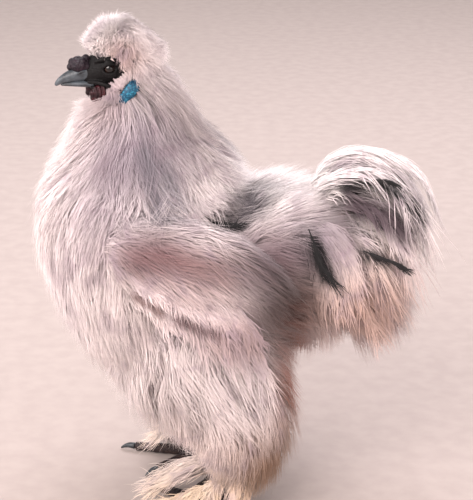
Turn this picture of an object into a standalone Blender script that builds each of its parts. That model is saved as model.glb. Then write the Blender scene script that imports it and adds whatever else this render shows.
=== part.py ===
"""A life-size standing silkie cockerel, as one closed solid for each part of its body.

The bird faces -X with its left side towards -Y, and stands on the plane Z = 0. Lengths are in metres,
and the tables of stations are in millimetres. Flesh is lofted along curved axes. The silky plumage is
made of flat, tapered locks and vanes, which leave a core and lie under the outer surface of the coat.
Each node is fused into one closed body and keeps a small gap to the nodes that it meets.
"""

import math
import random
from functools import partial

import bmesh
import bpy
import numpy as np
from mathutils import Matrix, Vector
from mathutils.bvhtree import BVHTree

MM = 0.001
GAP = 0.3 * MM
COLLECTION = "silkie_cockerel"
RIGHTWARD = Vector((0, 1, 0))
UP = Vector((0, 0, 1))

# The tables below have X = 0 under the back. The finished bird is moved to stand over the origin.
BASE_CENTRE = Vector((4.5, 0, 0)) * MM
LOWEST_PLUME = 1.2 * MM

# How deep a lock's root sinks below its core, as a part of the coat's depth there.
ROOT_DEPTH = 0.3

# The head turns and dips a little, about a point midway between the eyes.
HEAD_CENTRE = Vector((-89.5, -2, 318)) * MM
HEAD_TURN = math.radians(15)
HEAD_DIP = math.radians(4)

# Colours in linear light: off-white plumage, black mulberry skin, slate horn and turquoise lobes.
PLUMAGE = (0.72, 0.66, 0.65, 1)
SKIN = (0.025, 0.018, 0.022, 1)
HORN = (0.10, 0.12, 0.13, 1)
COMB_SKIN = (0.045, 0.02, 0.035, 1)
WATTLE_SKIN = (0.06, 0.015, 0.02, 1)
LOBE_SKIN = (0.05, 0.30, 0.42, 1)
EYE_COLOUR = (0.012, 0.008, 0.007, 1)

# Stations of the flesh and of the coat over it: x, y, z, half width, half depth. A core and its coat
# have a row for each other. The angle round a station starts at the bird's right side.
NECK_CORE = [(-78, 2, 312, 11, 13), (-75, 1.5, 300, 14, 17), (-71, 0, 285, 19, 23), (-68, 0, 268, 26, 31),
             (-65, 0, 249, 35, 40), (-61, 0, 229, 44, 46), (-58, 0, 212, 46, 44), (-56, 0, 200, 34, 32)]
NECK_COAT = [(-69, 2, 309, 22, 24), (-65, 1, 298, 30, 33), (-65, 0, 286, 40, 45), (-67, 0, 272, 51, 55),
             (-67, 0, 256, 64, 67), (-66, 0, 241, 78, 76), (-64, 0, 226, 91, 82), (-60, 0, 210, 100, 84)]
BREAST_CORE = [(-78, 0, 238, 38, 34), (-82, 0, 224, 50, 43), (-84, 0, 204, 60, 46), (-79, 0, 180, 64, 44),
               (-68, 0, 156, 60, 40), (-58, 0, 134, 50, 34), (-50, 0, 116, 36, 24)]
BREAST_COAT = [(-80, 0, 246, 66, 56), (-84, 0, 228, 80, 64), (-84, 0, 204, 88, 66), (-80, 0, 176, 91, 63),
               (-71, 0, 146, 87, 58), (-59, 0, 116, 74, 50), (-45, 0, 88, 54, 40)]
TORSO_CORE = [(-66, 0, 178, 56, 46), (-40, 0, 174, 66, 52), (-12, 0, 172, 65, 51), (18, 0, 178, 57, 44),
              (42, 0, 188, 43, 34), (60, 0, 198, 20, 17)]
TORSO_COAT = [(-70, 0, 163, 72, 66), (-42, 0, 161, 75, 72), (-12, 0, 163, 75, 75), (22, 0, 170, 72, 74),
              (52, 0, 178, 62, 70), (80, 0, 183, 46, 60)]
VENT_CORE = [(26, 0, 186, 36, 28), (34, 0, 166, 38, 32), (37, 0, 146, 32, 28), (37, 0, 131, 18, 17)]
VENT_COAT = [(30, 0, 182, 54, 44), (42, 0, 156, 57, 48), (46, 0, 133, 50, 41), (44, 0, 112, 36, 30)]
WING_CORE = [(-88, -68, 206, 4, 10), (-70, -75, 205, 7, 19), (-44, -79, 199, 8, 25), (-16, -78, 189, 8, 25),
             (6, -74, 178, 6, 18), (18, -70, 170, 4, 8)]
WING_ACROSS = Vector((0, 0.94, -0.34))
WING_COVERTS = [(-92, -68, 207, 13, 16), (-72, -75, 205, 16, 28), (-44, -79, 198, 18, 35), (-12, -78, 186, 18, 36),
                (14, -74, 172, 15, 30), (32, -70, 158, 10, 22)]
THIGH_CORE = [(-32, -34, 140, 26, 42), (-24, -40, 118, 30, 44), (-11, -45, 94, 28, 36), (0, -46, 72, 21, 27),
              (4, -46, 54, 15, 18), (1, -46, 42, 9, 10)]
THIGH_COAT = [(-36, -40, 146, 42, 66), (-26, -46, 118, 46, 68), (-10, -48, 92, 48, 58), (1, -49, 66, 44, 44),
              (2, -48, 42, 37, 34), (-3, -47, 26, 28, 24)]
TAIL_STUMP = [(40, 0, 198, 26, 20), (56, 0, 207, 25, 20), (70, 0, 216, 19, 16), (82, 0, 223, 9, 8)]
FOOT_PAD = [(5, -51, 44, 5, 6), (-6, -51, 31, 5, 6), (-20, -50, 17, 4.5, 5), (-36, -50, 10, 3.5, 3.5),
            (-48, -51, 8, 2, 2)]

# Stations in the head's own frame: forward, left, up, half width, half height.
SKULL = [(17, 0, -5, 5, 6), (12, 0, -4, 8, 9), (4, 0, -2, 11, 12.5), (-5, 0, -1, 13, 13.5),
         (-14, 0, -1, 13, 13), (-22, 0, -3, 10, 10), (-28, 0, -5, 4, 4)]
UPPER_BEAK = [(12, 0, -3, 7, 6), (18, 0, -3.3, 6, 5.4), (24, 0, -4.1, 4.6, 4.5), (30, 0, -5.7, 3, 3.3),
              (34, 0, -7.5, 1.7, 2.2), (36.5, 0, -9.4, 0.8, 1.1)]
LOWER_BEAK = [(11, 0, -11.0, 6.4, 3), (18, 0, -10.4, 5.2, 2.5), (24, 0, -9.9, 3.7, 2.0), (29, 0, -9.6, 2.3, 1.4),
              (32.5, 0, -9.7, 0.9, 0.7)]
CREST_CORE = [(-6, 0, 22, 4, 4), (-8, 0, 20, 12, 13), (-10, 0, 14, 16, 19), (-12, 0, 6, 17, 20),
              (-15, 0, -2, 14, 16), (-17, 0, -8, 8, 9)]
CREST_COAT = [(-9, 0, 36, 6, 6), (-10, 0, 33, 20, 20), (-10, 0, 25, 30, 31), (-12, 0, 11, 35, 36),
              (-15, 0, -3, 34, 34), (-17, 0, -14, 28, 29)]


def clear_scene():
    for old in list(bpy.data.objects):
        bpy.data.objects.remove(old)


def material(name, colour, roughness):
    made = bpy.data.materials.new(name)
    made.use_nodes = True
    shader = made.node_tree.nodes["Principled BSDF"]
    shader.inputs["Base Color"].default_value = colour
    shader.inputs["Roughness"].default_value = roughness
    shader.inputs["Metallic"].default_value = 0.0
    return made


def head_frame():
    """The head's forward, left and up directions."""
    level = Vector((-math.cos(HEAD_TURN), -math.sin(HEAD_TURN), 0))
    forward = level * math.cos(HEAD_DIP) - UP * math.sin(HEAD_DIP)
    left = UP.cross(level)
    return forward, left, forward.cross(left)


FORWARD, LEFT, CROWN = head_frame()


def on_head(forward, left, up):
    return HEAD_CENTRE + (FORWARD * forward + LEFT * left + CROWN * up) * MM


def head_stations(table):
    """A head's table of stations, as a table in the bird's frame."""
    return [(*(on_head(*row[:3]) / MM), *row[3:]) for row in table]


def mirrored(table):
    """The same stations on the bird's other side."""
    return [(x, -y, z, *rest) for x, y, z, *rest in table]


def smooth_rows(rows, count):
    """Rows of numbers, read at even steps from smooth curves through them."""
    rows = np.asarray(rows, float)
    padded = np.vstack([2 * rows[0] - rows[1], rows, 2 * rows[-1] - rows[-2]])
    read = []
    for place in np.linspace(0, len(rows) - 1, count):
        i = min(int(place), len(rows) - 2)
        t = place - i
        a, b, c, d = padded[i : i + 4]
        cubic = 2 * b + (c - a) * t + (2 * a - 5 * b + 4 * c - d) * t**2 + (3 * b - a - 3 * c + d) * t**3
        read.append(cubic / 2)
    return np.array(read)


class Surface:
    """A smooth tube through stations, read by a place along it from 0 to 1 and an angle round it."""

    STEPS = 97

    def __init__(self, stations, across=RIGHTWARD):
        rows = smooth_rows(stations, self.STEPS) * MM
        self.centres = [Vector(row[:3]) for row in rows]
        self.sizes = [(max(row[3], MM), max(row[4], MM)) for row in rows]
        self.frames = []
        for k in range(self.STEPS):
            near, far = self.centres[max(k - 2, 0)], self.centres[min(k + 2, self.STEPS - 1)]
            axis = (far - near).normalized()
            wide = (across - axis * across.dot(axis)).normalized()
            self.frames.append((wide, axis.cross(wide)))

    def ring(self, k, angle, grow=0.0):
        wide, deep = self.frames[k]
        half_width, half_depth = self.sizes[k]
        return (self.centres[k] + wide * (half_width + grow) * math.cos(angle)
                + deep * (half_depth + grow) * math.sin(angle))

    def at(self, along, angle):
        """A point on the surface, which goes on straight past either end."""
        place = along * (self.STEPS - 1)
        k = min(max(int(place), 0), self.STEPS - 2)
        return self.ring(k, angle).lerp(self.ring(k + 1, angle), place - k)

    def mesh(self, rings, sides, grow=0.0):
        picked = [round(k * (self.STEPS - 1) / (rings - 1)) for k in range(rings)]
        loops = [[self.ring(k, 2 * math.pi * j / sides, grow) for j in range(sides)] for k in picked]
        axis_start = (self.centres[0] - self.centres[4]).normalized()
        axis_end = (self.centres[-1] - self.centres[-5]).normalized()
        cap = 0.5 * min(self.sizes[0]) + grow
        cap_end = 0.5 * min(self.sizes[-1]) + grow
        return closed_mesh(loops, self.centres[0] + axis_start * cap, self.centres[-1] + axis_end * cap_end)


def closed_mesh(loops, start, end):
    """A closed mesh through loops of points, with a point beyond each end, split alike all round."""
    count = len(loops[0])
    points = [p for loop in loops for p in loop] + [start, end]
    faces = []
    for k in range(len(loops) - 1):
        for j in range(count):
            a, b = k * count + j, k * count + (j + 1) % count
            faces += [(a, b, b + count), (a, b + count, a + count)]
    last = (len(loops) - 1) * count
    for j in range(count):
        following = (j + 1) % count
        faces.append((following, j, len(points) - 2))
        faces.append((last + j, last + following, len(points) - 1))
    return outward_mesh(points, faces)


def outward_mesh(points, faces):
    made = bpy.data.meshes.new("form")
    made.from_pydata([tuple(p) for p in points], [], faces)
    shell = bmesh.new()
    shell.from_mesh(made)
    bmesh.ops.recalc_face_normals(shell, faces=shell.faces)
    shell.to_mesh(made)
    shell.free()
    return made


def ellipsoid(centre, radii, axes=None, segments=8, rings=6, grow=0.0):
    """A rounded body with a half size along each of three axes."""
    shell = bmesh.new()
    bmesh.ops.create_uvsphere(shell, u_segments=segments, v_segments=rings, radius=1)
    turn = Matrix(axes or (FORWARD, LEFT, CROWN)).transposed()
    for vertex in shell.verts:
        vertex.co = centre + turn @ Vector([c * (r * MM + grow) for c, r in zip(vertex.co, radii)])
    bmesh.ops.triangulate(shell, faces=shell.faces)
    bmesh.ops.recalc_face_normals(shell, faces=shell.faces)
    made = bpy.data.meshes.new("form")
    shell.to_mesh(made)
    shell.free()
    return made


def tube(stations, rings, sides, across=RIGHTWARD, floor=None, grow=0.0):
    """A closed body through stations. With a floor, its points rest on it."""
    made = Surface(stations, across).mesh(rings, sides, grow)
    if floor is not None:
        for vertex in made.vertices:
            vertex.co.z = max(vertex.co.z, floor)
    return made


def tapered(path, normals, width, thickness, grow):
    """A flat form that tapers to a point at both ends of its path, with a low ridge down its outer face."""
    loops = []
    steps = len(path) - 1
    for k in range(1, steps):
        s = k / steps
        along = (path[k + 1] - path[k - 1]).normalized()
        deep = (normals[k] - along * normals[k].dot(along)).normalized()
        wide = along.cross(deep)
        half_width = 0.5 * width * math.sqrt(1 - s) * (0.7 + 0.9 * s)
        half_depth = 0.5 * thickness * math.sqrt(1 - 0.7 * s)
        swell = 1 + grow * math.hypot(half_width, half_depth) / (half_width * half_depth)
        half_width, half_depth = half_width * swell, half_depth * swell
        crown, sole = path[k] + deep * half_depth, path[k] - deep * half_depth
        loops.append([sole + wide * half_width, crown, sole - wide * half_width])
    start = path[0] - (path[1] - path[0]).normalized() * 3 * grow
    end = path[-1] + (path[-1] - path[-2]).normalized() * 3 * grow
    for p in [q for loop in loops for q in loop] + [start, end]:
        p.z = max(p.z, LOWEST_PLUME - grow)
    return closed_mesh(loops, start, end)


def lying_lock(core, coat, along, angle, reach, lie, width, thickness, height, limit, steps=4):
    """A lock that leaves the core and rises to the coat's surface at its tip, in steps that follow the lie.

    Locks of one height rise alike, so that each tier lies over the next like tiles. lie gives the
    change of place and of angle over a lock, and limit bends the path clear of what lies beside it."""
    path, normals = [], []
    for k in range(steps + 1):
        s = k / steps
        rise = -ROOT_DEPTH + (height + ROOT_DEPTH) * s * (1.6 - 0.6 * s)
        low, high = core.at(along, angle), coat.at(along, angle)
        path.append(limit(low.lerp(high, rise)))
        normals.append((high - low).normalized())
        forward, turn = lie(along, angle)
        along += forward * reach / steps
        angle += turn * reach / steps
    return partial(tapered, path, normals, width * MM, thickness * MM)


def facing(*direction):
    return lambda point: Vector(direction).normalized()


def away_from(*hub):
    return lambda point: (point - Vector(hub) * MM).normalized()


def vane(points, outward, width, thickness, steps=4):
    """A long feather through a few points in mm, as a flat vane. outward gives its facing at a point."""
    path = [Vector(row) * MM for row in smooth_rows(points, steps + 1)]
    return partial(tapered, path, [outward(point) for point in path], width * MM, thickness * MM)


def free(point):
    return point


def combine(body, forms, operation, grow=0.0):
    """Joins closed forms to a body, or cuts it clear of them, with one applied Boolean."""
    others = bpy.data.collections.new("pieces")
    bpy.context.scene.collection.children.link(others)
    for form in forms:
        piece = bpy.data.objects.new("piece", form(grow=grow))
        piece.hide_render = True
        piece.display_type = "WIRE"
        others.objects.link(piece)
    joined = body.modifiers.new("combine", "BOOLEAN")
    joined.operation = operation
    joined.operand_type = "COLLECTION"
    joined.collection = others
    joined.solver = "MANIFOLD"
    bpy.context.view_layer.update()
    graph = bpy.context.evaluated_depsgraph_get()
    result = bpy.data.meshes.new_from_object(body.evaluated_get(graph))
    body.modifiers.clear()
    body.data = result
    for piece in list(others.objects):
        bpy.data.objects.remove(piece)
    bpy.data.collections.remove(others)


def keep_largest(body):
    """Drops every closed surface but the largest, such as a scrap that a cut left loose."""
    shell = bmesh.new()
    shell.from_mesh(body.data)
    unseen, groups = set(shell.faces), []
    while unseen:
        group, border = [], [unseen.pop()]
        while border:
            face = border.pop()
            group.append(face)
            for edge in face.edges:
                for near in edge.link_faces:
                    if near in unseen:
                        unseen.discard(near)
                        border.append(near)
        groups.append(group)
    groups.sort(key=lambda group: sum(face.calc_area() for face in group))
    loose = [face for group in groups[:-1] for face in group]
    bmesh.ops.delete(shell, geom=loose, context="FACES")
    bmesh.ops.triangulate(shell, faces=shell.faces)
    shell.to_mesh(body.data)
    shell.free()


class Shell:
    """A closed surface, kept to find what crosses it or lies inside it."""

    ONWARD = Vector((0.31, 0.52, 0.79))

    def __init__(self, mesh):
        points = [vertex.co.copy() for vertex in mesh.vertices]
        self.start = points[0]
        self.low = [min(point[axis] for point in points) for axis in range(3)]
        self.high = [max(point[axis] for point in points) for axis in range(3)]
        self.tree = BVHTree.FromPolygons(points, [tuple(face.vertices) for face in mesh.polygons])

    def holds(self, point):
        """Whether a point lies inside: a ray from there crosses the surface an odd number of times."""
        crossings, hit = 0, self.tree.ray_cast(point, self.ONWARD)[0]
        while hit is not None:
            crossings += 1
            hit = self.tree.ray_cast(hit + self.ONWARD * 0.01 * MM, self.ONWARD)[0]
        return crossings % 2 == 1

    def meets(self, other):
        """Whether another shell crosses this one or lies inside it."""
        if any(self.low[axis] > other.high[axis] or other.low[axis] > self.high[axis] for axis in range(3)):
            return False
        return bool(self.tree.overlap(other.tree)) or self.holds(other.start)


class Bird:
    """Keeps what is made, so that each node's locks end short of the others and its core is cut clear of them."""

    SHARES_TRIED = (1.0, 0.85, 0.7, 0.55)

    def __init__(self, cores):
        self.parts = bpy.data.collections.new(COLLECTION)
        bpy.context.scene.collection.children.link(self.parts)
        self.made = {}
        self.shells = {name: [Shell(form(grow=GAP)) for form in forms] for name, forms in cores.items()}

    def fitted(self, name, form, root_share):
        """The longest part of a lock that stays clear of every other node, if any does.

        The share near its root may sink into a neighbour's core, which is cut clear of it afterwards."""
        others = [shell for other, shells in self.shells.items() if other != name for shell in shells]
        for share in self.SHARES_TRIED:
            free_part = Shell(part_of(form, root_share * share, share)(grow=GAP))
            if not any(shell.meets(free_part) for shell in others):
                return part_of(form, 0.0, share)
        return None

    def add(self, name, solids, finish, clear_of=(), cutters=(), locks=(), root_share=0.3):
        """Fuses a node's solids and locks, cuts them clear of the nodes named, and keeps one closed body."""
        fitted = [self.fitted(name, form, root_share) for form in locks]
        forms = [*solids, *(form for form in fitted if form)]
        body = bpy.data.objects.new(name, forms[0](grow=0.0))
        self.parts.objects.link(body)
        if len(forms) > 1:
            combine(body, forms[1:], "UNION")
        whole = Shell(body.data)
        near = [form for other in clear_of for form in self.made[other] if whole.meets(Shell(form(grow=GAP)))]
        if near:
            combine(body, near, "DIFFERENCE", GAP)
        if cutters:
            combine(body, cutters, "DIFFERENCE")
        keep_largest(body)
        self.made[name] = forms
        self.shells[name] = [Shell(body.data)]
        body.data.transform(Matrix.Translation(-BASE_CENTRE))
        body.data.shade_smooth()
        body.data.set_sharp_from_angle(angle=math.radians(50))
        body.data.materials.clear()
        body.data.materials.append(finish)
        print(name, len(body.data.polygons), "triangles,", len(locks) - len(forms) + len(solids), "locks left out")


def across_midline(point):
    return Vector((point.x, -point.y, point.z))


def reflected(forms):
    """The same tapered forms and tubes on the bird's other side."""
    made = []
    for form in forms:
        first, *rest = form.args
        if form.func is tapered:
            rest[0] = [across_midline(normal) for normal in rest[0]]
            made.append(partial(tapered, [across_midline(point) for point in first], *rest))
        else:
            rest[2:3] = [across_midline(direction) for direction in rest[2:3]]
            made.append(partial(tube, mirrored(first), *rest))
    return made


def part_of(form, start, end):
    """The stretch of a lock or vane between two shares of its length."""
    path, normals, *sizes = form.args
    steps = len(path) - 1

    def read(points):
        places = [(start + (end - start) * k / steps) * steps for k in range(steps + 1)]
        return [points[min(int(p), steps - 1)].lerp(points[min(int(p), steps - 1) + 1], p - min(int(p), steps - 1))
                for p in places]

    return partial(tapered, read(path), read(normals), *sizes)


def coat_rows(rng, core, coat, rows, angles, lie, limit=free, thickness=2.6, steps=4):
    """Locks in tiers. A tier is (place along, count, reach along, width in mm, height in the coat)."""
    made = []
    for tier, (along, count, reach, width, height) in enumerate(rows):
        for j in range(count):
            shift = 0.25 + 0.5 * (tier % 2) + rng.uniform(-0.2, 0.2)
            angle = angles[0] + (angles[1] - angles[0]) * (j + shift) / count
            varied = rng.uniform(0.85, 1.15)
            made.append(lying_lock(core, coat, along + rng.uniform(-0.02, 0.02), angle, reach * varied, lie,
                                   width * rng.uniform(0.85, 1.15), thickness, height * rng.uniform(0.9, 1.04),
                                   limit, steps))
    return made


def quarter_turns(start, end):
    """Two angles, given in quarter turns from the bird's right side by way of its top."""
    return start * math.pi / 2, end * math.pi / 2


def eyes(bird, finish):
    for name, side in (("eye_left", 1), ("eye_right", -1)):
        bird.add(name, [partial(ellipsoid, on_head(0, side * 9.9, 0), (4.4, 4.4, 4.4), None, 10, 7)], finish)


def lids(side):
    """Two swollen lids round an eye, as bent rolls that meet at its corners."""
    rolls = []
    for half, thick in ((1, 1.5), (-1, 1.3)):
        arc = [(5.2 * math.cos(t), side * (12.1 + 1.0 * math.sin(t)), half * 3.9 * math.sin(t),
                0.7 + (thick - 0.7) * math.sin(t), 0.7 + (thick - 0.7) * math.sin(t))
               for t in np.linspace(0, math.pi, 5)]
        rolls.append(partial(tube, head_stations(arc), 5, 4, LEFT))
    return rolls


def head(bird, finish):
    """The skull with its bare face: lids, brows, jaw and the line of the mouth."""
    forms = [partial(tube, head_stations(SKULL), 7, 10, LEFT)]
    cutters = []
    for side in (-1, 1):
        forms += lids(side)
        brow = head_stations([(9, side * 8, 5, 1, 1), (3, side * 10.8, 6.8, 2.2, 2.2), (-5, side * 11.4, 6.4, 2.2, 2),
                              (-11, side * 11, 3, 1, 1)])
        gape = head_stations([(15, side * 6.4, -8.6, 1.2, 1.4), (9, side * 8.6, -9.3, 1.7, 1.8),
                              (3, side * 10.6, -11.6, 1.6, 1.7), (-1, side * 10.8, -13.6, 1.0, 1.0)])
        mouth = head_stations([(16, side * 9.2, -8.9, 0.4, 1.6), (9, side * 11.2, -9.6, 0.4, 1.6),
                               (3, side * 13.0, -11.9, 0.4, 1.6)])
        forms += [partial(tube, brow, 3, 5, LEFT), partial(tube, gape, 4, 4, LEFT)]
        cutters.append(partial(tube, mouth, 3, 4, CROWN))
    bird.add("head", forms, finish, cutters=cutters, clear_of=["eye_left", "eye_right"])


def beak(bird, finish):
    lower = partial(tube, head_stations(LOWER_BEAK), 5, 8, LEFT)
    upper = partial(tube, head_stations(UPPER_BEAK), 7, 8, LEFT)
    nostrils = [partial(ellipsoid, on_head(19.5, side * 5.4, -1.6), (1.6, 1.7, 0.8), None, 5, 4) for side in (-1, 1)]
    bird.add("beak_lower", [lower], finish, clear_of=["head"])
    bird.add("beak_upper", [upper], finish, clear_of=["beak_lower", "head"], cutters=nostrils)


def comb(bird, finish):
    """A walnut comb: a low cushion over the root of the beak, covered with bulbs of unlike sizes."""
    rng = random.Random(11)
    centre, size = (19.0, 0, 2.2), (6.2, 7.4, 5.0)
    bulbs = []
    for ring_height, count in ((0.05, 6), (0.75, 3)):
        for j in range(count):
            turn = 2 * math.pi * (j + 0.3 * (count == 3)) / count
            flat = math.cos(ring_height)
            place = [centre[0] + size[0] * flat * math.cos(turn), size[1] * flat * math.sin(turn),
                     centre[2] + size[2] * math.sin(ring_height)]
            radius = rng.uniform(3.0, 4.0)
            bulbs.append(partial(ellipsoid, on_head(*place), (radius, radius, 0.9 * radius), None, 5, 4))
    cushion = partial(ellipsoid, on_head(*centre), size, None, 7, 5)
    bird.add("comb", [cushion] + bulbs, finish, clear_of=["head", "beak_upper"])


def wattle(bird, name, side, finish):
    """A small round wattle with a rim of bulbs and a fold down its middle."""
    rng = random.Random(23 + side)
    middle = (8, side * 8.2, -18.0)
    forms = [partial(ellipsoid, on_head(*middle), (6.6, 2.2, 6.8), None, 8, 5)]
    for j in range(3):
        turn = math.pi * (1.15 + 0.7 * j / 2)
        radius = rng.uniform(2.4, 3.0)
        place = (middle[0] + 4.8 * math.cos(turn), middle[1] + side * 0.3, middle[2] + 5.0 * math.sin(turn))
        forms.append(partial(ellipsoid, on_head(*place), (radius, 1.9, radius), None, 5, 4))
    fold = head_stations([(8, side * 9.6, -12, 1.2, 1.2), (7.6, side * 10.2, -17, 1.5, 1.4),
                          (8.2, side * 9.8, -22, 1.1, 1.1)])
    forms.append(partial(tube, fold, 3, 4))
    bird.add(name, forms, finish, clear_of=["head", "beak_lower", "beak_upper"])


def earlobe(bird, name, side, finish):
    """A long lobe that slants down and forward from behind the ear, as two swellings with a crease between."""
    upper = head_stations([(-20, side * 13.5, -9.5, 1.5, 1.0), (-15.5, side * 14.4, -13.5, 4.4, 2.2),
                           (-10, side * 14.4, -18.5, 4.0, 2.2), (-6, side * 13.8, -22, 2.0, 1.2)])
    lower = head_stations([(-11.5, side * 14.0, -17.5, 2.0, 1.2), (-6.5, side * 14.4, -21.5, 3.8, 2.1),
                           (-2.5, side * 13.4, -25, 2.8, 1.8), (0.5, side * 12.2, -27.5, 1.0, 0.8)])
    across = LEFT.cross(FORWARD * 0.66 - CROWN * 0.75)
    bird.add(name, [partial(tube, part, 5, 6, across) for part in (upper, lower)], finish, clear_of=["head"])


def cheek(bird, name, side, finish):
    """A short tuft on the cheek, between the bare face and the earlobe."""
    rng = random.Random(31 + side)
    pad = head_stations([(-13, side * 11.5, -6, 3, 3), (-7, side * 12, -11, 4, 4), (0, side * 10.5, -17, 3, 3)])
    locks = []
    for j in range(5):
        t = j / 4
        root = (-10 + 13 * t, 12, -5 - 11 * t)
        bend = (root[0] - 4, 15.6 + 0.5 * (j % 2), root[2] - 3)
        tip = (root[0] - 6, 17.6 + 0.5 * (j % 2), root[2] - 6.5 + rng.uniform(-1, 1))
        points = [on_head(f, side * l, u) / MM for f, l, u in (root, bend, tip)]
        locks.append(vane(points, facing(*(LEFT * side)), rng.uniform(6, 7), 1.5, 3))
    own_side = name.removeprefix("cheek")
    bird.add(name, [partial(tube, pad, 3, 6, LEFT)], finish, locks=locks,
             clear_of=["head", "eye" + own_side, "earlobe" + own_side, "wattle" + own_side])


def crest(bird, finish):
    """A round puff of locks that spring from the crown and fall towards the nape, above a bare face."""
    rng = random.Random(41)
    core = Surface(head_stations(CREST_CORE), LEFT)
    coat = Surface(head_stations(CREST_COAT), LEFT)
    locks = []

    def lie(along, angle):
        return 1.0, 0.0

    for tier, (along, count, reach) in enumerate([(0.02, 4, 0.38), (0.14, 6, 0.40), (0.28, 8, 0.38),
                                                  (0.43, 8, 0.36), (0.58, 8, 0.36)]):
        for j in range(count):
            angle = 2 * math.pi * (j + 0.5 * (tier % 2) + rng.uniform(-0.12, 0.12)) / count
            behind = 0.5 - 0.5 * math.sin(angle)
            hem = 0.54 + 0.51 * behind**1.8
            if hem - along > 0.15:
                locks.append(lying_lock(core, coat, along, angle, min(reach, hem - along), lie,
                                        rng.uniform(17, 20), 2.4, rng.uniform(0.96, 1.04), free, 3))
    bird.add("crest", [partial(tube, head_stations(CREST_CORE), 6, 10, LEFT)], finish, locks=locks,
             clear_of=["head", "comb", "beak_upper", "eye_left", "eye_right", "cheek_left", "cheek_right",
                       "earlobe_left", "earlobe_right"])


def neck(bird, finish):
    """The neck under its hackle, whose long locks hang as a cape over the shoulders."""
    rng = random.Random(53)
    nape = [(0.00, 3, 0.26, 17, 1.0), (0.10, 4, 0.38, 19, 1.0)]
    throat = [(0.17, 3, 0.34, 20, 0.95), (0.26, 4, 0.40, 22, 1.0), (0.36, 4, 0.44, 25, 1.0)]
    cape = [(0.21, 5, 0.44, 21, 1.0), (0.33, 5, 0.48, 25, 1.0), (0.46, 6, 0.50, 28, 1.0), (0.58, 6, 0.46, 31, 1.0)]
    shoulder = [(0.70, 2, 0.38, 30, 1.0)]

    def lie(along, angle):
        return 1.0, 0.16 * math.cos(angle)

    core, coat = Surface(NECK_CORE), Surface(NECK_COAT)
    locks = (coat_rows(rng, core, coat, nape, quarter_turns(0.3, 1.7), lie)
             + coat_rows(rng, core, coat, throat, quarter_turns(2.3, 3.7), lie)
             + coat_rows(rng, core, coat, cape, quarter_turns(-0.35, 2.35), lie)
             + coat_rows(rng, core, coat, shoulder, quarter_turns(-0.3, 0.55), lie)
             + coat_rows(rng, core, coat, shoulder, quarter_turns(1.45, 2.3), lie))
    bird.add("neck", CORES["neck"], finish, locks=locks, root_share=0.45,
             clear_of=["head", "crest", "cheek_left", "cheek_right", "earlobe_left", "earlobe_right",
                       "wattle_left", "wattle_right", "beak_lower"])


def wing_locks(seed):
    """The left wing's coverts in tiers, over long ragged flight feathers in two tiers."""
    rng = random.Random(seed)
    locks = []

    def lie(along, angle):
        return 0.8, 0.7

    for j in range(6):
        t = j / 5
        points = [(-80 + 72 * t, -78, 192 - 22 * t), (-64 + 74 * t, -92, 180 - 32 * t),
                  (-50 + 76 * t, -98, 166 - 47 * t + rng.uniform(-4, 4))]
        locks.append(vane(points, facing(0, -1, 0.15), 18, 2.2))
    for j in range(5):
        t = j / 4
        points = [(-82 + 72 * t, -84, 204 - 18 * t), (-66 + 74 * t, -95, 192 - 30 * t),
                  (-54 + 74 * t, -99, 180 - 42 * t + rng.uniform(-3, 3))]
        locks.append(vane(points, facing(0, -1, 0.2), 21, 2.2))
    core, coat = Surface(WING_CORE, WING_ACROSS), Surface(WING_COVERTS, WING_ACROSS)
    rows = [(0.04, 3, 0.44, 22, 0.9), (0.24, 4, 0.44, 22, 0.95), (0.48, 4, 0.42, 22, 0.95)]
    return locks + coat_rows(rng, core, coat, rows, quarter_turns(0.85, 2.25), lie, steps=3)


def tail_locks():
    """Tail feathers in tiers: sickles that arch over, ragged feathers below them, and fluff beneath."""
    rng = random.Random(67)
    locks = []
    over = away_from(100, 0, 186)
    tiers = [(3, 20, 22, over, ((42, 214), (56, 240), (80, 250), (108, 246))),
             (6, 32, 24, over, ((50, 216), (64, 248), (98, 258), (131, 242), (152, 208))),
             (6, 38, 22, over, ((54, 210), (80, 235), (108, 233), (130, 210), (142, 178))),
             (5, 42, 23, over, ((58, 206), (84, 215), (106, 200), (124, 160))),
             (5, 40, 24, None, ((56, 201), (78, 188), (94, 164), (104, 136))),
             (4, 30, 24, None, ((54, 198), (70, 172), (80, 128)))]
    for count, spread, width, outward, line in tiers:
        for j in range(count):
            side = 2 * j / (count - 1) - 1
            shorter = 1 - 0.2 * abs(side)
            drop = 10 * abs(side) + 5 * (j % 2)
            points = [(54 + (x - 54) * shorter + rng.uniform(-3, 3) * (k > 0),
                       side * (10 + (spread - 2) * k / (len(line) - 1)) + rng.uniform(-1, 1) * (k > 0),
                       z - drop * (k > 0) - 2 * (j % 2)) for k, (x, z) in enumerate(line)]
            locks.append(vane(points, outward or facing(1, 1.2 * side, 0.35), width, 2.4))
    for side in (-1, 1):
        for j in range(4):
            t = j / 3
            fall = rng.uniform(-6, 6)
            points = [(38 + 12 * t, side * (20 - 4 * t), 206 + 4 * t), (48 + 16 * t, side * (45 - 5 * t), 206 + 6 * t),
                      (56 + 22 * t, side * (55 - 8 * t), 184 + 6 * t + 0.5 * fall),
                      (60 + 26 * t, side * (52 - 5 * t + rng.uniform(-2, 2)), 152 + 8 * t + fall)]
            locks.append(vane(points, facing(0, side, 0.25), 19, 2.2))
    return locks


def breast(bird, finish):
    """The full breast, whose long soft locks hang straight down."""
    rng = random.Random(71)
    rows = [(0.08, 5, 0.5, 29, 1.0), (0.22, 6, 0.50, 31, 1.0), (0.37, 6, 0.50, 32, 1.0), (0.52, 6, 0.48, 32, 1.0),
            (0.68, 5, 0.46, 31, 1.0)]

    def lie(along, angle):
        return 1.0, 0.0

    locks = coat_rows(rng, Surface(BREAST_CORE), Surface(BREAST_COAT), rows, quarter_turns(2.0, 4.0), lie,
                      thickness=3.2)
    bird.add("breast", CORES["breast"], finish, locks=locks, clear_of=["neck", "wing_left", "wing_right"])


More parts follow.
